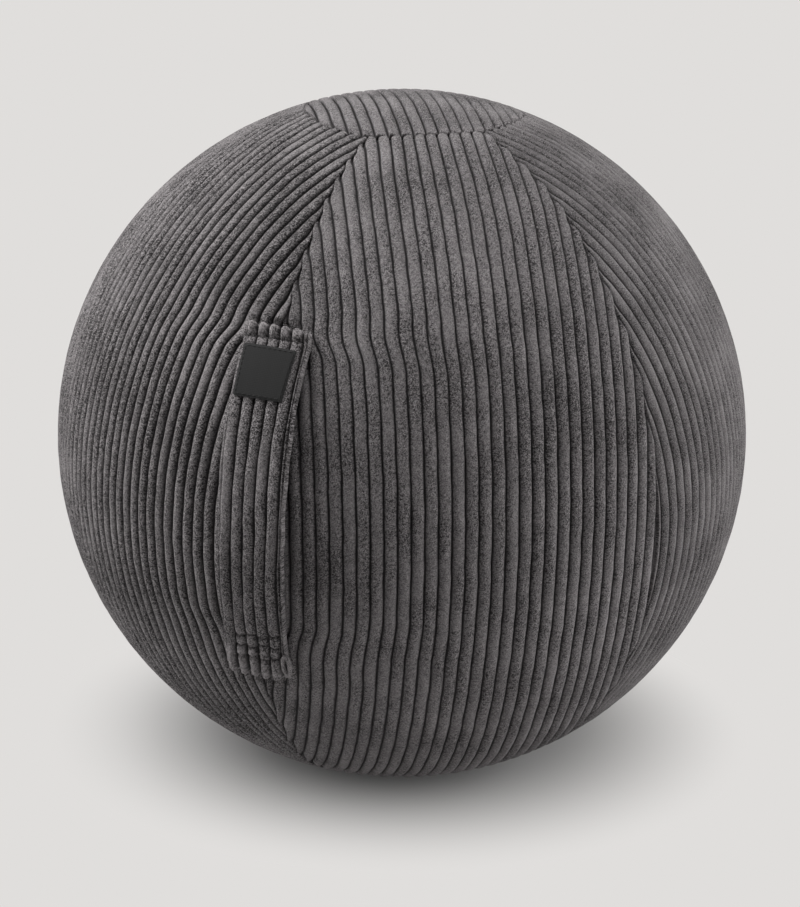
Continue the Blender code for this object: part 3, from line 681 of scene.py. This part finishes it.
def strapPlace(along, aside, height):
    along, aside, height = np.broadcast_arrays(along, aside, height)
    rise = strapRise(along)
    slant = strap["topSlant"][0] + strap["topSlant"][1] * aside / (strap["width"] / 2)
    slant = slant * (1 - smooth(*strap["topSlantFade"], along))
    latitude = strap["latitude"] + (strap["length"] / 2 - along + slant) / radius
    aside = aside + np.interp(along, *strapSway)
    reach = radius + strap["clearance"] + rise + height
    normal = np.stack((0 * latitude, -np.cos(latitude), np.sin(latitude)), -1)
    curved = rounded(normal, aside, reach)
    straight = normal * reach[..., None] + east * aside[..., None]
    flat = (rise / strap["rise"])[..., None]
    return centre + curved * (1 - flat) + straight * flat


def strapSection():
    # places across the strap's top, with the share of a rib there and which rib it is
    half = strap["width"] / 2
    spots = [(-half + share * (strap["ribsLeft"] + half), share, -1) for share in (0, 0.1, 0.35, 0.7)]
    turns = -np.cos(np.linspace(0, math.pi, strap["ribSteps"] + 1))
    for rib in range(strap["ribs"]):
        spots += [(strap["ribsLeft"] + (rib + (share + 1) / 2) * strap["pitch"], share, rib) for share in turns[:-1]]
    spots.append((strap["ribsLeft"] + strap["ribs"] * strap["pitch"], -1.0, strap["ribs"]))
    for number, (start, stop, _) in enumerate(strap["beads"]):
        spots += [(start + (share + 1) / 2 * (stop - start), share, strap["ribs"] + number) for share in turns[::2]]
    return [np.array(column, float) for column in zip(*spots)]


def pinchPlace(pinch, share, rib):
    # where a row of stitching crosses a rib
    aside = strap["ribsLeft"] + (rib + (share + 1) / 2) * strap["pitch"]
    jitter = strap["pinchJitter"] * np.sin(2.7 * rib + 900 * pinch[0]) * (pinch[0] > strap["lowerCut"])
    ragged = strap["pinchRagged"] * np.sin(6 * share + 2.1 * rib + 500 * pinch[0])
    return pinch[0] + pinch[3] * aside + strap["pinchBow"] * (1 - share * share) + jitter + ragged


def onRibs(rib):
    return (rib >= 0) & (rib < strap["ribs"])


def strapPinch(along, share, rib):
    squeeze = np.zeros(np.broadcast(along, rib).shape)
    firstEdge, lastEdge = strap["pinchedEdges"]  # the edges run on past the rows
    for pinch in strap["pinches"]:
        low = pinch[0] > strap["lowerCut"]
        ofRib = np.where((rib < 1) & low, firstEdge, np.where(rib < strap["ribs"], 1.0, lastEdge))
        away = np.clip(np.abs(along - pinchPlace(pinch, share, rib)) / pinch[1], 0, 1)
        squeeze = np.maximum(squeeze, pinch[2] * ofRib * (1 - np.sqrt(away * (2 - away))))
    return squeeze


def strapBack(share, rib, low):
    # how far a place across the strap ends before its longest point, every rib ends in a round
    bead = np.where(rib < 0, strap["scallop"], strap["beadBack"][1 if low else 0])
    return np.where(onRibs(rib), strap["scallop"] * np.abs(share) ** strap["scallopRound"], bead)


def strapAlong(rows, share, rib):
    # rows close to an end crowd up so that the last one follows the scallops
    bend, length = strap["scallopBend"], strap["length"]
    for low in (False, True):
        back = strapBack(share, rib, low)
        fromEnd = length - rows if low else rows
        squeezed = back + fromEnd * (bend - back) / bend
        fromEnd = np.where(fromEnd < bend, squeezed, fromEnd)
        rows = length - fromEnd if low else fromEnd
    return rows


def strapToEnd(along, share, rib):
    return np.minimum(along - strapBack(share, rib, False), strap["length"] - along - strapBack(share, rib, True))


def strapStub(along):
    # 1 past the outer rows of stitching
    start, full = strap["stubRamp"]
    low = smooth(strap["lowerRow"] + start, strap["lowerRow"] + full, along)
    return low + 1 - smooth(strap["upperRow"] - strap["topStubRamp"], strap["upperRow"], along)


def strapHeight(along, share, rib):
    # pinched where it is sewn, with puffy stubs past the outer rows of stitching
    squeeze = strapPinch(along, share, rib)
    stub = strapStub(along)
    width = strap["ribWidth"] + (strap["stubWidth"] - strap["ribWidth"]) * stub - strap["pinchNarrow"] * squeeze
    rise = np.maximum(1 - np.abs(share / width) ** strap["ribRound"], 0) ** 0.5
    low = strap["groove"] + (strap["stubGroove"] - strap["groove"]) * stub
    crest = strap["crest"] + (strap["stubCrest"] - strap["crest"]) * stub
    wave = np.sin(along / strap["crinklePitch"] * fullTurn + 2.3 * rib + 2 * share)
    ribHigh = low + (crest - low) * rise + strap["crinkle"] * stub * wave * rise * (along > strap["lowerRow"])
    edgeHigh = strap["leftEdge"] * np.sqrt(np.clip(0.06 + 2.6 * share, 0, 1))
    bead = np.where(rib > strap["ribs"], strap["beads"][1][2], strap["beads"][0][2])
    bead = bead * (1 - strap["beadSink"] * smooth(*strap["beadSinks"], along))
    ridgeHigh = strap["beadBase"] + bead * np.sqrt(np.clip(1 - share * share, 0, 1))
    height = np.where(onRibs(rib), ribHigh, np.where(rib < 0, edgeHigh, ridgeHigh))
    least = strap["pinchLeast"]
    height = np.where(height > least, least + (height - least) * (1 - squeeze), height)
    turn = np.clip(strapToEnd(along, share, rib) / strap["endRound"], 0, 1)
    return np.maximum(height * np.sqrt(turn * (2 - turn)), strap["leastHigh"])


def sweptPiece(name, rings, material, attributes):
    rows, around = rings.shape[:2]
    index = numbered(rows, around)
    index = np.concatenate((index, index[:, :1]), 1)
    faces = gridFaces(index)
    for ring in (index[0, :-1].tolist(), index[-1, ::-1].tolist()[1:]):
        # the second half of a ring runs back under the first
        half = around // 2
        faces += [[ring[spot + 1], ring[spot], ring[-1 - spot], ring[-2 - spot]] for spot in range(half - 1)]
    return newPiece(name, rings.reshape(-1, 3), faces, material,
                    {key: values.reshape(rows * around, *values.shape[2:]) for key, values in attributes.items()})


def strapRows(start, stop):
    # places along the strap, closer together at its ends and its rows of stitching
    marks = [start, stop]
    place = start
    while place < stop:
        near = min(abs(place - pinch[0]) for pinch in strap["pinches"])
        near = min(near, place, strap["length"] - place)
        place += strap["step"] * (strap["fineStep"] if near < strap["fineReach"] else 1)
        marks.append(min(place, stop))
    return np.unique(np.array(marks))


def makeStrap(name, start, stop, nodes, blendFrom, blendTo):
    aside, share, rib = (column[None] for column in strapSection())
    along = strapAlong(strapRows(start, stop)[:, None], share, rib)
    top = strapHeight(along, share, rib)
    aside = aside + sum(size * np.sin(along * waves + rib * change) for size, waves, change in strap["wanders"])
    asides = np.concatenate((aside, aside[:, ::-1]), 1)
    heights = np.concatenate((top, 0 * top), 1)
    alongs = np.concatenate((along, along[:, ::-1]), 1)
    rings = strapPlace(alongs, asides, heights)
    weave = np.stack((asides, alongs, np.full_like(asides, strap["clothPlace"])), -1) * strap["grain"]
    # painted light: the stubs past the outer rows are painted paler, as if lit where they bulge out
    worn = strap["stubWorn"] * strapStub(alongs)
    # painted shade: the mask darkens the widened stub grooves, the rows of stitching and an outline at the strap's
    # ends
    pile = pileAndShadeOf(share * (1 + strap["stubBare"] * strapStub(along)), evenLay["bareFrom"])
    pile = np.where(onRibs(rib), pile, 1) * (1 - strapPinch(along, share, rib) ** strap["pinchBare"])
    pile = pile * smooth(*strap["bareEnd"], strapToEnd(along, share, rib))
    pile = np.concatenate((pile, np.ones_like(pile)), 1)
    piece = sweptPiece(name, rings, corduroy, {
        "weave": weave, "pile": pile, "nap": np.full_like(pile, strap["nap"]), "worn": worn})
    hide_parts(*nodes)
    tuple(strapPlace(blendFrom, 0.0, 0.0))
    tuple(strapPlace(blendTo, 0.0, 0.0))
    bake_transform(piece)


makeStrap("strap_upper", 0.0, strap["gripEnd"], ("handle_upper_end", "handle_upper_run", "handle_grip"),
          strap["upperCut"], strap["gripTop"])
makeStrap("strap_lower", strap["gripEnd"], strap["length"], ("handle_lower_run", "handle_lower_end"),
          strap["lowerCut"], strap["gripEnd"])


# the cord inside the strap's edge is turned back on itself in a flat loop at its low end
beadLoop = {"along": 275.6 * mm, "aside": 28.0 * mm, "long": 9.0 * mm, "wide": 2.7 * mm, "thick": 1.9 * mm,
            "height": 4.6 * mm, "tilt": 0.05, "lumps": 5, "lumpSize": 0.08, "clothPlace": 4.4,
            "steps": 56, "sides": 12}


def makeBeadLoop():
    turn = np.linspace(0, fullTurn, beadLoop["steps"], endpoint=False)
    spin = np.linspace(0, fullTurn, beadLoop["sides"], endpoint=False)
    along = beadLoop["along"] + beadLoop["long"] * np.cos(turn)
    aside = beadLoop["aside"] + beadLoop["wide"] * np.sin(turn) + beadLoop["tilt"] * beadLoop["long"] * np.cos(turn)
    path = strapPlace(along, aside, beadLoop["height"])
    heading = unit(np.roll(path, -1, 0) - np.roll(path, 1, 0))
    lean = unit(path - centre)
    thick = beadLoop["thick"] * (1 + beadLoop["lumpSize"] * np.sin(beadLoop["lumps"] * turn))
    rings = path[:, None] + thick[:, None, None] * ringAround(np.cross(heading, lean), lean, spin)
    count = len(turn) * len(spin)
    index = numbered(len(turn), len(spin))
    index = np.concatenate((index, index[:1]), 0)
    faces = gridFaces(np.concatenate((index, index[:, :1]), 1))
    lengthwise = beadLoop["long"] * 4 * turn / 6.28
    weave = np.broadcast_arrays(beadLoop["thick"] * spin[None], lengthwise[:, None], beadLoop["clothPlace"])
    piece = newPiece("strap_bead_loop", rings.reshape(-1, 3), faces, corduroy,
                     # the loop is painted paler like the stubs, painted light where it stands proud
                     {"weave": np.stack(weave, -1).reshape(-1, 3), "pile": np.ones(count),
                      "nap": np.full(count, strap["nap"]), "worn": np.full(count, strap["stubWorn"])})
    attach(piece, "ball")


makeBeadLoop()
print("strap made")


# label: a bare woven patch lying on the strap's ribs
label = {"start": 16.4 * mm, "size": 41 * mm, "aside": -3.5 * mm, "flare": 3.4 * mm, "flareAlong": 0.3,
         "height": 5.3 * mm, "thickness": 0.8 * mm, "corner": 1.6 * mm, "cornerCut": 0.29, "sag": 0.06 * mm,
         "rimDrop": 0.45 * mm, "lowSag": 0.6, "stitchInset": 1.8 * mm, "steps": 48, "dark": grey(0.011),
         "light": grey(0.022), "threads": 1500.0}


def labelMaterial():
    made, wire, link = newMaterial("label_cloth", {"Specular IOR Level": 0.08, "Sheen Weight": 0.05})
    weave = wire.attribute("weave", 1)
    warp, weft = (wire.wave(weave, direction, label["threads"] / 6.28, 0.6) for direction in "XY")
    cloth = warp * weft * 0.7 + wire.noise(weave, 900.0, 2.0) * 0.4
    dress(wire, link, label, cloth, (0.82, -0.15), (0.35, 0.25 * mm))
    return made


labelCloth = labelMaterial()


def labelPlace(shares, half):
    # shares run from -1 to 1 across and along, and the top right corner is pulled out
    flare = label["flare"] * (1 - shares[..., 1]) / 2 * (1 + shares[..., 0]) / 2
    aside = label["aside"] + shares[..., 0] * half + flare
    return label["start"] + label["size"] / 2 + shares[..., 1] * half + label["flareAlong"] * flare, aside


def makeLabel():
    steps = label["steps"]
    side = np.linspace(-1, 1, steps)
    half = label["size"] / 2
    ring = np.stack(np.meshgrid(side, side, indexing="ij"), -1)
    # rounded corners: squeeze the grid's corners in
    edge = np.abs(ring).max(-1)
    near = np.clip((np.abs(ring).min(-1) - (1 - label["corner"] / half)) / (label["corner"] / half), 0, 1)
    ring = ring * (1 - label["cornerCut"] * label["corner"] / half * near * smooth(0.7, 1.0, edge))[..., None]
    along, aside = labelPlace(ring, half)
    ribs = ((aside - strap["ribsLeft"]) / strap["pitch"]) % 1 * 2 - 1
    sag = label["sag"] * (1 - ribShape(ribs)) + label["rimDrop"] * smooth(0.9, 1.0, edge)
    top = strapPlace(along, aside, label["height"] + label["thickness"] - sag)
    low = strapPlace(along, aside, label["height"] - sag * label["lowSag"])
    index = numbered(steps, steps)
    under = index + steps * steps
    faces = gridFaces(index) + gridFaces(under[:, ::-1])
    rim = np.concatenate((index[0, :], index[1:, -1], index[-1, -2::-1], index[-2:0:-1, 0]))
    for number in range(len(rim)):
        first, second = int(rim[number - 1]), int(rim[number])
        faces.append([first, second, second + steps * steps, first + steps * steps])
    weave = np.stack((aside, along, 0 * along), -1).reshape(-1, 3)
    piece = newPiece("label_patch", np.concatenate((top.reshape(-1, 3), low.reshape(-1, 3))), faces, labelCloth,
                     {"weave": np.concatenate((weave, weave))})
    settle(piece, "label")


makeLabel()
print("label made")


# thread: short dashes laid on the cloth
thread = {"dash": 3.0 * mm, "gap": 1.1 * mm, "thick": 0.42 * mm, "endThick": 0.55, "lift": 0.2 * mm, "sink": 0.35,
          "rings": 7, "sides": 7, "dark": grey(0.006, 0.03), "light": grey(0.016, 0.04)}


def threadMaterial():
    made, wire, link = newMaterial("thread", {"Specular IOR Level": 0.1, "Sheen Weight": 0.08})
    place = wire.place()
    strand = wire.wave(place, 'DIAGONAL', 420.0, 1.5) * 0.6 + wire.noise(place, 2600.0, 2.0) * 0.4
    dress(wire, link, thread, strand, (0.85, -0.2), (0.6, 0.2 * mm))
    return made


threadCloth = threadMaterial()


def makeStitching(name, node, paths):
    points, faces = [], []
    rows, sides = thread["rings"], thread["sides"]
    for path in paths:
        steps = np.concatenate(([0], np.cumsum(np.linalg.norm(np.diff(path, axis=0), axis=1))))
        count = max(1, int((steps[-1] + thread["gap"]) / (thread["dash"] + thread["gap"])))
        spare = (steps[-1] - count * thread["dash"]) / max(1, count - 1)
        for number in range(count):
            begin = number * (thread["dash"] + spare)
            spots = begin + np.linspace(0, thread["dash"], rows)
            dash = np.stack([np.interp(spots, steps, path[:, axis]) for axis in range(3)], -1)
            outwards = unit(dash - centre)
            arch = np.sin(np.linspace(0, math.pi, rows)) * 0.5
            dash = dash + outwards * (thread["lift"] * (arch - thread["sink"]))[:, None]
            rings = tubeRings(dash, outwards, thread["thick"] * (thread["endThick"] + 0.9 * arch), sides)
            faces += ringFaces(rows, sides, len(points) * rows * sides)
            points.append(rings.reshape(-1, 3))
    settle(newPiece(name, np.concatenate(points), faces, threadCloth), node)


def strapRowPath(pinch, firstRib):
    aside, share, rib = strapSection()
    chosen = (rib >= firstRib) & (rib < strap["ribs"])
    aside, share, rib = aside[chosen], share[chosen], rib[chosen]
    along = pinchPlace(pinch, share, rib)
    return strapPlace(along, aside, strapHeight(along, share, rib) + thread["lift"])


def labelPath():
    corners = np.array(((-1.0, -1.0), (1, -1), (1, 1), (-1, 1), (-1, -1)))
    paths = []
    for first, second in zip(corners[:-1], corners[1:]):
        shares = first + (second - first) * np.linspace(0.03, 0.97, 40)[:, None]
        places = labelPlace(shares, label["size"] / 2 - label["stitchInset"])
        paths.append(strapPlace(*places, label["height"] + label["thickness"]))
    return paths


makeStitching("thread_strap_top", "handle_stitch_upper", [strapRowPath(strap["pinches"][0], 0)])
makeStitching("thread_strap_low_1", "handle_stitch_lower_1", [strapRowPath(strap["pinches"][1], 1)])
makeStitching("thread_strap_low_2", "handle_stitch_lower_2", [strapRowPath(strap["pinches"][2], 1)])
makeStitching("thread_label", "label_stitching", labelPath())
print("strap and label sewn")


# zip on the rear seam: two woven tapes, two nylon coils, topstitching, enamelled slider, puller and stops
tape = {"inner": 1.0 * mm, "outer": 15 * mm, "low": 0.31800, "high": 0.31860, "start": -6 * mm, "end": 326 * mm,
        "rows": 180, "columns": 15, "ripple": 0.06 * mm, "dark": grey(0.022, 0.02), "light": grey(0.055, 0.03),
        "threads": 900.0}
coil = {"start": 4.6 * mm, "end": 315.4 * mm, "pitch": 1.45 * mm, "middle": 2.3 * mm, "wide": 1.15 * mm,
        "height": 0.32030, "tall": 0.98 * mm, "wire": 0.40 * mm, "perTurn": 16, "sides": 6,
        "dark": grey(0.018), "light": grey(0.040)}


def zipPlace(along, aside, reach):
    # aside is metres towards +X, reach is the distance from the ball's middle
    along, aside, reach = np.broadcast_arrays(along, aside, reach)
    latitude = zipCut["top"] - along / radius
    normal = np.stack((0 * latitude, np.cos(latitude), np.sin(latitude)), -1)
    return centre + rounded(normal, aside, reach)


def tapeMaterial():
    made, wire, link = newMaterial("zip_tape", {"Specular IOR Level": 0.25, "Sheen Weight": 0.15})
    weave = wire.attribute("weave", 1)
    rows = wire.wave(weave, 'Y', tape["threads"] / 6.28, 0.8)
    ribs = wire.wave(weave, 'X', tape["threads"] / 12.0, 0.5, 2.0)
    cloth = rows * 0.5 + ribs * 0.3 + wire.noise(weave, 1100.0) * 0.3
    dress(wire, link, tape, cloth, (0.9, -0.15), (0.6, 0.3 * mm))
    return made


def coilMaterial():
    made, wire, link = newMaterial("zip_teeth", {"Specular IOR Level": 0.5})
    dress(wire, link, coil, wire.noise(wire.place(), 240.0, 3.0), (0.3, 0.25), (0.15, 0.1 * mm))
    return made


tapeCloth, coilNylon = tapeMaterial(), coilMaterial()


def sideOf(node):
    low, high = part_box(node)
    return 1 if low.x + high.x > 0 else -1


def makeTape(node):
    side = sideOf(node)
    across = np.linspace(tape["inner"], tape["outer"], tape["columns"])
    top = tape["high"] - tape["ripple"] + tape["ripple"] * np.sin(np.arange(tape["columns"]) * 2.1)
    aside = side * np.concatenate((across, across[::-1]))
    reach = np.concatenate((top, np.full(tape["columns"], tape["low"])))
    along = np.linspace(tape["start"], tape["end"], tape["rows"])
    aside, along = np.broadcast_arrays(aside[None], along[:, None])
    rings = zipPlace(along, aside, np.broadcast_to(reach[None], aside.shape))
    piece = sweptPiece("tape_" + node.split("_")[-1], rings, tapeCloth,
                       {"weave": np.stack((aside, along, 0 * along), -1)})
    settle(piece, node)


def makeCoil(node):
    side = sideOf(node)
    turns = (coil["end"] - coil["start"]) / coil["pitch"]
    angle = np.linspace(0, turns * fullTurn, int(turns * coil["perTurn"])) + (0 if side > 0 else math.pi)
    along = np.linspace(coil["start"], coil["end"], len(angle))
    aside = side * (coil["middle"] + coil["wide"] * np.cos(angle))
    path = zipPlace(along, aside, coil["height"] + coil["tall"] * np.sin(angle))
    latitude = zipCut["top"] - along / radius
    down = np.stack((0 * latitude, np.sin(latitude), -np.cos(latitude)), -1)
    rings = tubeRings(path, down, coil["wire"], coil["sides"])
    faces = ringFaces(len(path), coil["sides"], 0)
    piece = newPiece("coil_" + node.split("_")[-1], rings.reshape(-1, 3), faces, coilNylon)
    settle(piece, node)


def zipSeamPath(side):
    # a row of topstitching on the cover beside the zip
    along = np.linspace(-zipCut["seamTail"], zipCut["length"] + zipCut["seamTail"], zipCut["seamSteps"])
    latitude = zipCut["top"] - along / radius
    number = 2 if side > 0 else 3
    fromMiddle = side * (goreHalf - zipCut["seam"] / (radius * np.cos(latitude)))
    across = np.arcsin(np.cos(latitude) * np.sin(fromMiddle))
    place = (across - groovePlace.get(goreNames[number], evenGroove)) / ribStep
    share = 2 * (place - np.floor(place)) - 1
    away = np.full_like(latitude, zipCut["seam"] - zipCut["half"])
    full = edgeRound(away)
    drop = coverDrop(ribShape(share) * full, full, away + zipCut["half"], latitude)
    return onBall(latitude, fromMiddle + (number + 0.5) * 2 * goreHalf, radius - drop + thread["lift"])


for half in ("left", "right"):
    makeTape("zip_tape_" + half)
    makeCoil("zip_teeth_" + half)
    makeStitching("thread_zip_" + half, "zip_stitch_" + half, [zipSeamPath(sideOf("zip_tape_" + half))])
print("zip made")


# enamelled metal, moulded valve and the inflated bladder inside
metalLook = {"dark": grey(0.050, 0.02), "light": grey(0.100, 0.02), "wear": grey(0.30, 0.02), "mottle": 500.0,
             "wornFrom": 0.53}
bladderLook = {"dark": (0.27, 0.27, 0.28, 1), "light": (0.33, 0.33, 0.34, 1), "grain": 700.0, "rough": 0.42,
               "reach": 0.31620, "ringPitch": 9 * mm, "ringHeight": 0.5 * mm, "ringSharp": 8, "ringsTo": 60 * deg,
               "overCap": 0.1 * mm, "rows": 150, "around": 120}
valveLook = {"dark": (0.68, 0.68, 0.66, 1), "light": (0.80, 0.80, 0.79, 1), "grain": 900.0, "rough": 0.35}


def metalMaterial():
    made, wire, link = newMaterial("zip_metal", {"Specular IOR Level": 0.5})
    mottle = wire.noise(wire.place(), metalLook["mottle"], 4.0)
    edges = wire.node("ShaderNodeNewGeometry", {}, {}, "Pointiness")
    worn = ((edges - metalLook["wornFrom"]) * 9 + (mottle - 0.5) * 1.2).clamped(0, 1)
    enamel = wire.mixed(mottle, metalLook["dark"], metalLook["light"])
    link("Base Color", wire.mixed(worn, enamel, metalLook["wear"]))
    link("Metallic", worn * 0.8 + 0.2)
    link("Roughness", 0.32 + mottle * 0.22)
    link("Normal", wire.bump(mottle, 0.2, 0.08 * mm))
    return made


def mouldedMaterial(name, look):
    made, wire, link = newMaterial(name, {"Specular IOR Level": 0.45})
    place = wire.place()
    grain = wire.noise(place, look["grain"], 4.0)
    cloud = wire.noise(place, 18.0, 2.0)
    link("Base Color", wire.mixed(grain * 0.4 + cloud * 0.6, look["dark"], look["light"]))
    link("Roughness", grain * 0.2 + look["rough"])
    link("Normal", wire.bump(grain, 0.18, 0.15 * mm))
    return made


def makeBladder():
    # a smooth ball with the fine moulded rings of an exercise ball, flat where it stands
    latitude = np.linspace(-math.pi / 2, math.pi / 2, bladderLook["rows"])[None, :]
    azimuth = np.linspace(0, fullTurn, bladderLook["around"], endpoint=False)[:, None]
    wave = np.cos(latitude * radius / bladderLook["ringPitch"] * fullTurn)
    ring = np.maximum(0, wave) ** bladderLook["ringSharp"] * (np.abs(latitude) < bladderLook["ringsTo"])
    reach = bladderLook["reach"] - bladderLook["ringHeight"] * (1 - ring)
    spots = onBall(latitude + 0 * azimuth, azimuth + 0 * latitude, reach + 0 * azimuth)
    spots[..., 2] = np.maximum(spots[..., 2], cover["thickness"] + bladderLook["overCap"])
    index = numbered(*spots.shape[:2])
    index[:, 0] = index[0, 0]
    index[:, -1] = index[0, -1]
    faces = gridFaces(np.concatenate((index, index[:1]), 0))
    points, faces, _ = keepUsed(spots.reshape(-1, 3), faces)
    piece = newPiece("inner_ball", points, faces, mouldedMaterial("bladder", bladderLook))
    settle(piece, "bladder")


makeBladder()
zipMetal = metalMaterial()
valvePlastic = mouldedMaterial("valve", valveLook)
for node, finish in (("zip_top_stop", zipMetal), ("zip_bottom_stop", zipMetal), ("zip_slider", zipMetal),
                     ("zip_puller", zipMetal), ("valve_seat", valvePlastic), ("valve_plug", valvePlastic)):
    bpy.data.objects[node].material_slots[0].material = finish
print("bladder, valve and metal ready")


# floor, light and camera
# the floor colour is what the camera sees, darker than the bounce colour that the light meets: a painted shadow near
# the ball
stage = {"floor": (0.28, 0.278, 0.276, 1), "bounce": (0.58, 0.577, 0.573, 1), "pale": (0.745, 0.730, 0.716, 1),
         "shadowReach": (0.0975, 0.253), "shadowWide": 1.457, "floorRadius": 40, "floorSides": 96,
         "world": (1.0, 0.993, 0.986, 1), "worldStrength": 0.02}
lamps = {
    "top": {"azimuth": -60, "elevation": 82, "distance": 2.2, "size": (1.3, 1.3), "power": 37},
    "right": {"azimuth": 85, "elevation": 17, "distance": 2.0, "size": (1.2, 1.6), "power": 28},
    "rightBack": {"azimuth": 122, "elevation": 15, "distance": 2.0, "size": (1.2, 1.6), "power": 26},
    "left": {"azimuth": -63, "elevation": 20, "distance": 2.0, "size": (0.8, 1.6), "power": 33},
    "leftHigh": {"azimuth": -82, "elevation": 55, "distance": 2.0, "size": (1.0, 1.4), "power": 38},
}
shot = {"azimuth": 20.593, "elevation": 21.988, "roll": 1.037, "distance": 4.5, "ballMiddle": (401.9, 432.95),
        "ballRadius": 344.4, "image": (800, 907), "sensor": 36.0}


def sightline(azimuth, elevation):
    azimuth, elevation = azimuth * deg, elevation * deg
    return Vector(outward(azimuth) * math.cos(elevation) + up * math.sin(elevation))


def backdropRays(wire):
    # 1 for the rays that see the backdrop's even tone: the camera's, mirrored ones and bent ones
    names = ("Is Camera Ray", "Is Glossy Ray", "Is Transmission Ray")
    return sum(wire.node("ShaderNodeLightPath", {}, {}, name) for name in names).clamped(0, 1)


def makeFloor():
    bpy.ops.mesh.primitive_circle_add(vertices=stage["floorSides"], radius=stage["floorRadius"], fill_type='NGON')
    floor = bpy.context.object
    floor.name = "floor"
    made, wire, link = newMaterial("floor", {"Roughness": 0.9, "Specular IOR Level": 0.1})
    # away from the ball the camera sees one even pale tone; near it the real shadow falls on a floor painted darker
    # for the camera than for bounced light, so the dark patch round the ball is partly a painted shadow whose reach
    # the mask sets
    place = wire.node("ShaderNodeNewGeometry", {}, {}, "Position")
    turned = wire.node("ShaderNodeVectorRotate", {"rotation_type": 'Z_AXIS'},
                       {"Vector": place, "Angle": -shot["azimuth"] * deg})
    away = wire.node("ShaderNodeVectorMath", {"operation": 'LENGTH'},
                     {0: wire.stretched(turned, (1 / stage["shadowWide"], 1, 1))}, "Value")
    seen = wire.node("ShaderNodeLightPath", {}, {}, "Is Camera Ray")
    # painted shadow: camera rays see a darker floor than bounced light does, faded into the even tone by the shadow
    # reach
    link("Base Color", wire.mixed(seen, stage["bounce"], stage["floor"]))
    near, far = stage["shadowReach"]
    paintedShadowFade = wire.node("ShaderNodeMapRange", {"interpolation_type": 'SMOOTHSTEP'},
                     {"Value": away, "From Min": near, "From Max": far, "To Min": 0.0, "To Max": 1.0})
    pale = wire.node("ShaderNodeEmission", {}, {"Color": stage["pale"], "Strength": 1.0})
    ground = Wire(made.node_tree, made.node_tree.nodes["Principled BSDF"].outputs[0])
    both = wire.node("ShaderNodeMixShader", {}, {0: backdropRays(wire) * paintedShadowFade, 1: ground, 2: pale})
    made.node_tree.links.new(both.socket, made.node_tree.nodes["Material Output"].inputs["Surface"])
    floor.data.materials.append(made)


def makeLight():
    world = bpy.data.worlds.new("studio")
    world.use_nodes = True
    wire = Wire(world.node_tree)
    fill = wire.node("ShaderNodeBackground", {}, {"Color": stage["world"], "Strength": stage["worldStrength"]})
    pale = wire.node("ShaderNodeBackground", {}, {"Color": stage["pale"], "Strength": 1.0})
    both = wire.node("ShaderNodeMixShader", {}, {0: backdropRays(wire), 1: fill, 2: pale})
    world.node_tree.links.new(both.socket, world.node_tree.nodes["World Output"].inputs["Surface"])
    bpy.context.scene.world = world
    for name, lamp in lamps.items():
        data = bpy.data.lights.new(name, 'AREA')
        data.shape = 'RECTANGLE'
        data.size, data.size_y = lamp["size"]
        data.energy = lamp["power"]
        thing = bpy.data.objects.new("lamp_" + name, data)
        back = sightline(lamp["azimuth"], lamp["elevation"])
        thing.location = Vector(centre) + back * lamp["distance"]
        thing.rotation_euler = (-back).to_track_quat('-Z', 'Y').to_euler()
        bpy.context.scene.collection.objects.link(thing)


def makeCamera():
    data = bpy.data.cameras.new("camera")
    width, height = shot["image"]
    focal = shot["ballRadius"] * math.sqrt(shot["distance"] ** 2 - 1)  # pixels
    data.sensor_width = shot["sensor"]
    data.lens = focal * shot["sensor"] / height
    data.shift_x = (width / 2 - shot["ballMiddle"][0]) / height
    data.shift_y = (shot["ballMiddle"][1] - height / 2) / height
    camera = bpy.data.objects.new("camera", data)
    back = sightline(shot["azimuth"], shot["elevation"])
    camera.location = Vector(centre) + back * shot["distance"] * radius
    turn = (-back).to_track_quat('-Z', 'Y').to_matrix().to_4x4() @ Matrix.Rotation(shot["roll"] * deg, 4, 'Z')
    camera.rotation_euler = turn.to_euler()
    bpy.context.scene.collection.objects.link(camera)
    bpy.context.scene.camera = camera


makeFloor()
makeLight()
makeCamera()
bpy.context.scene.view_settings.view_transform = 'Standard'
print("studio ready")
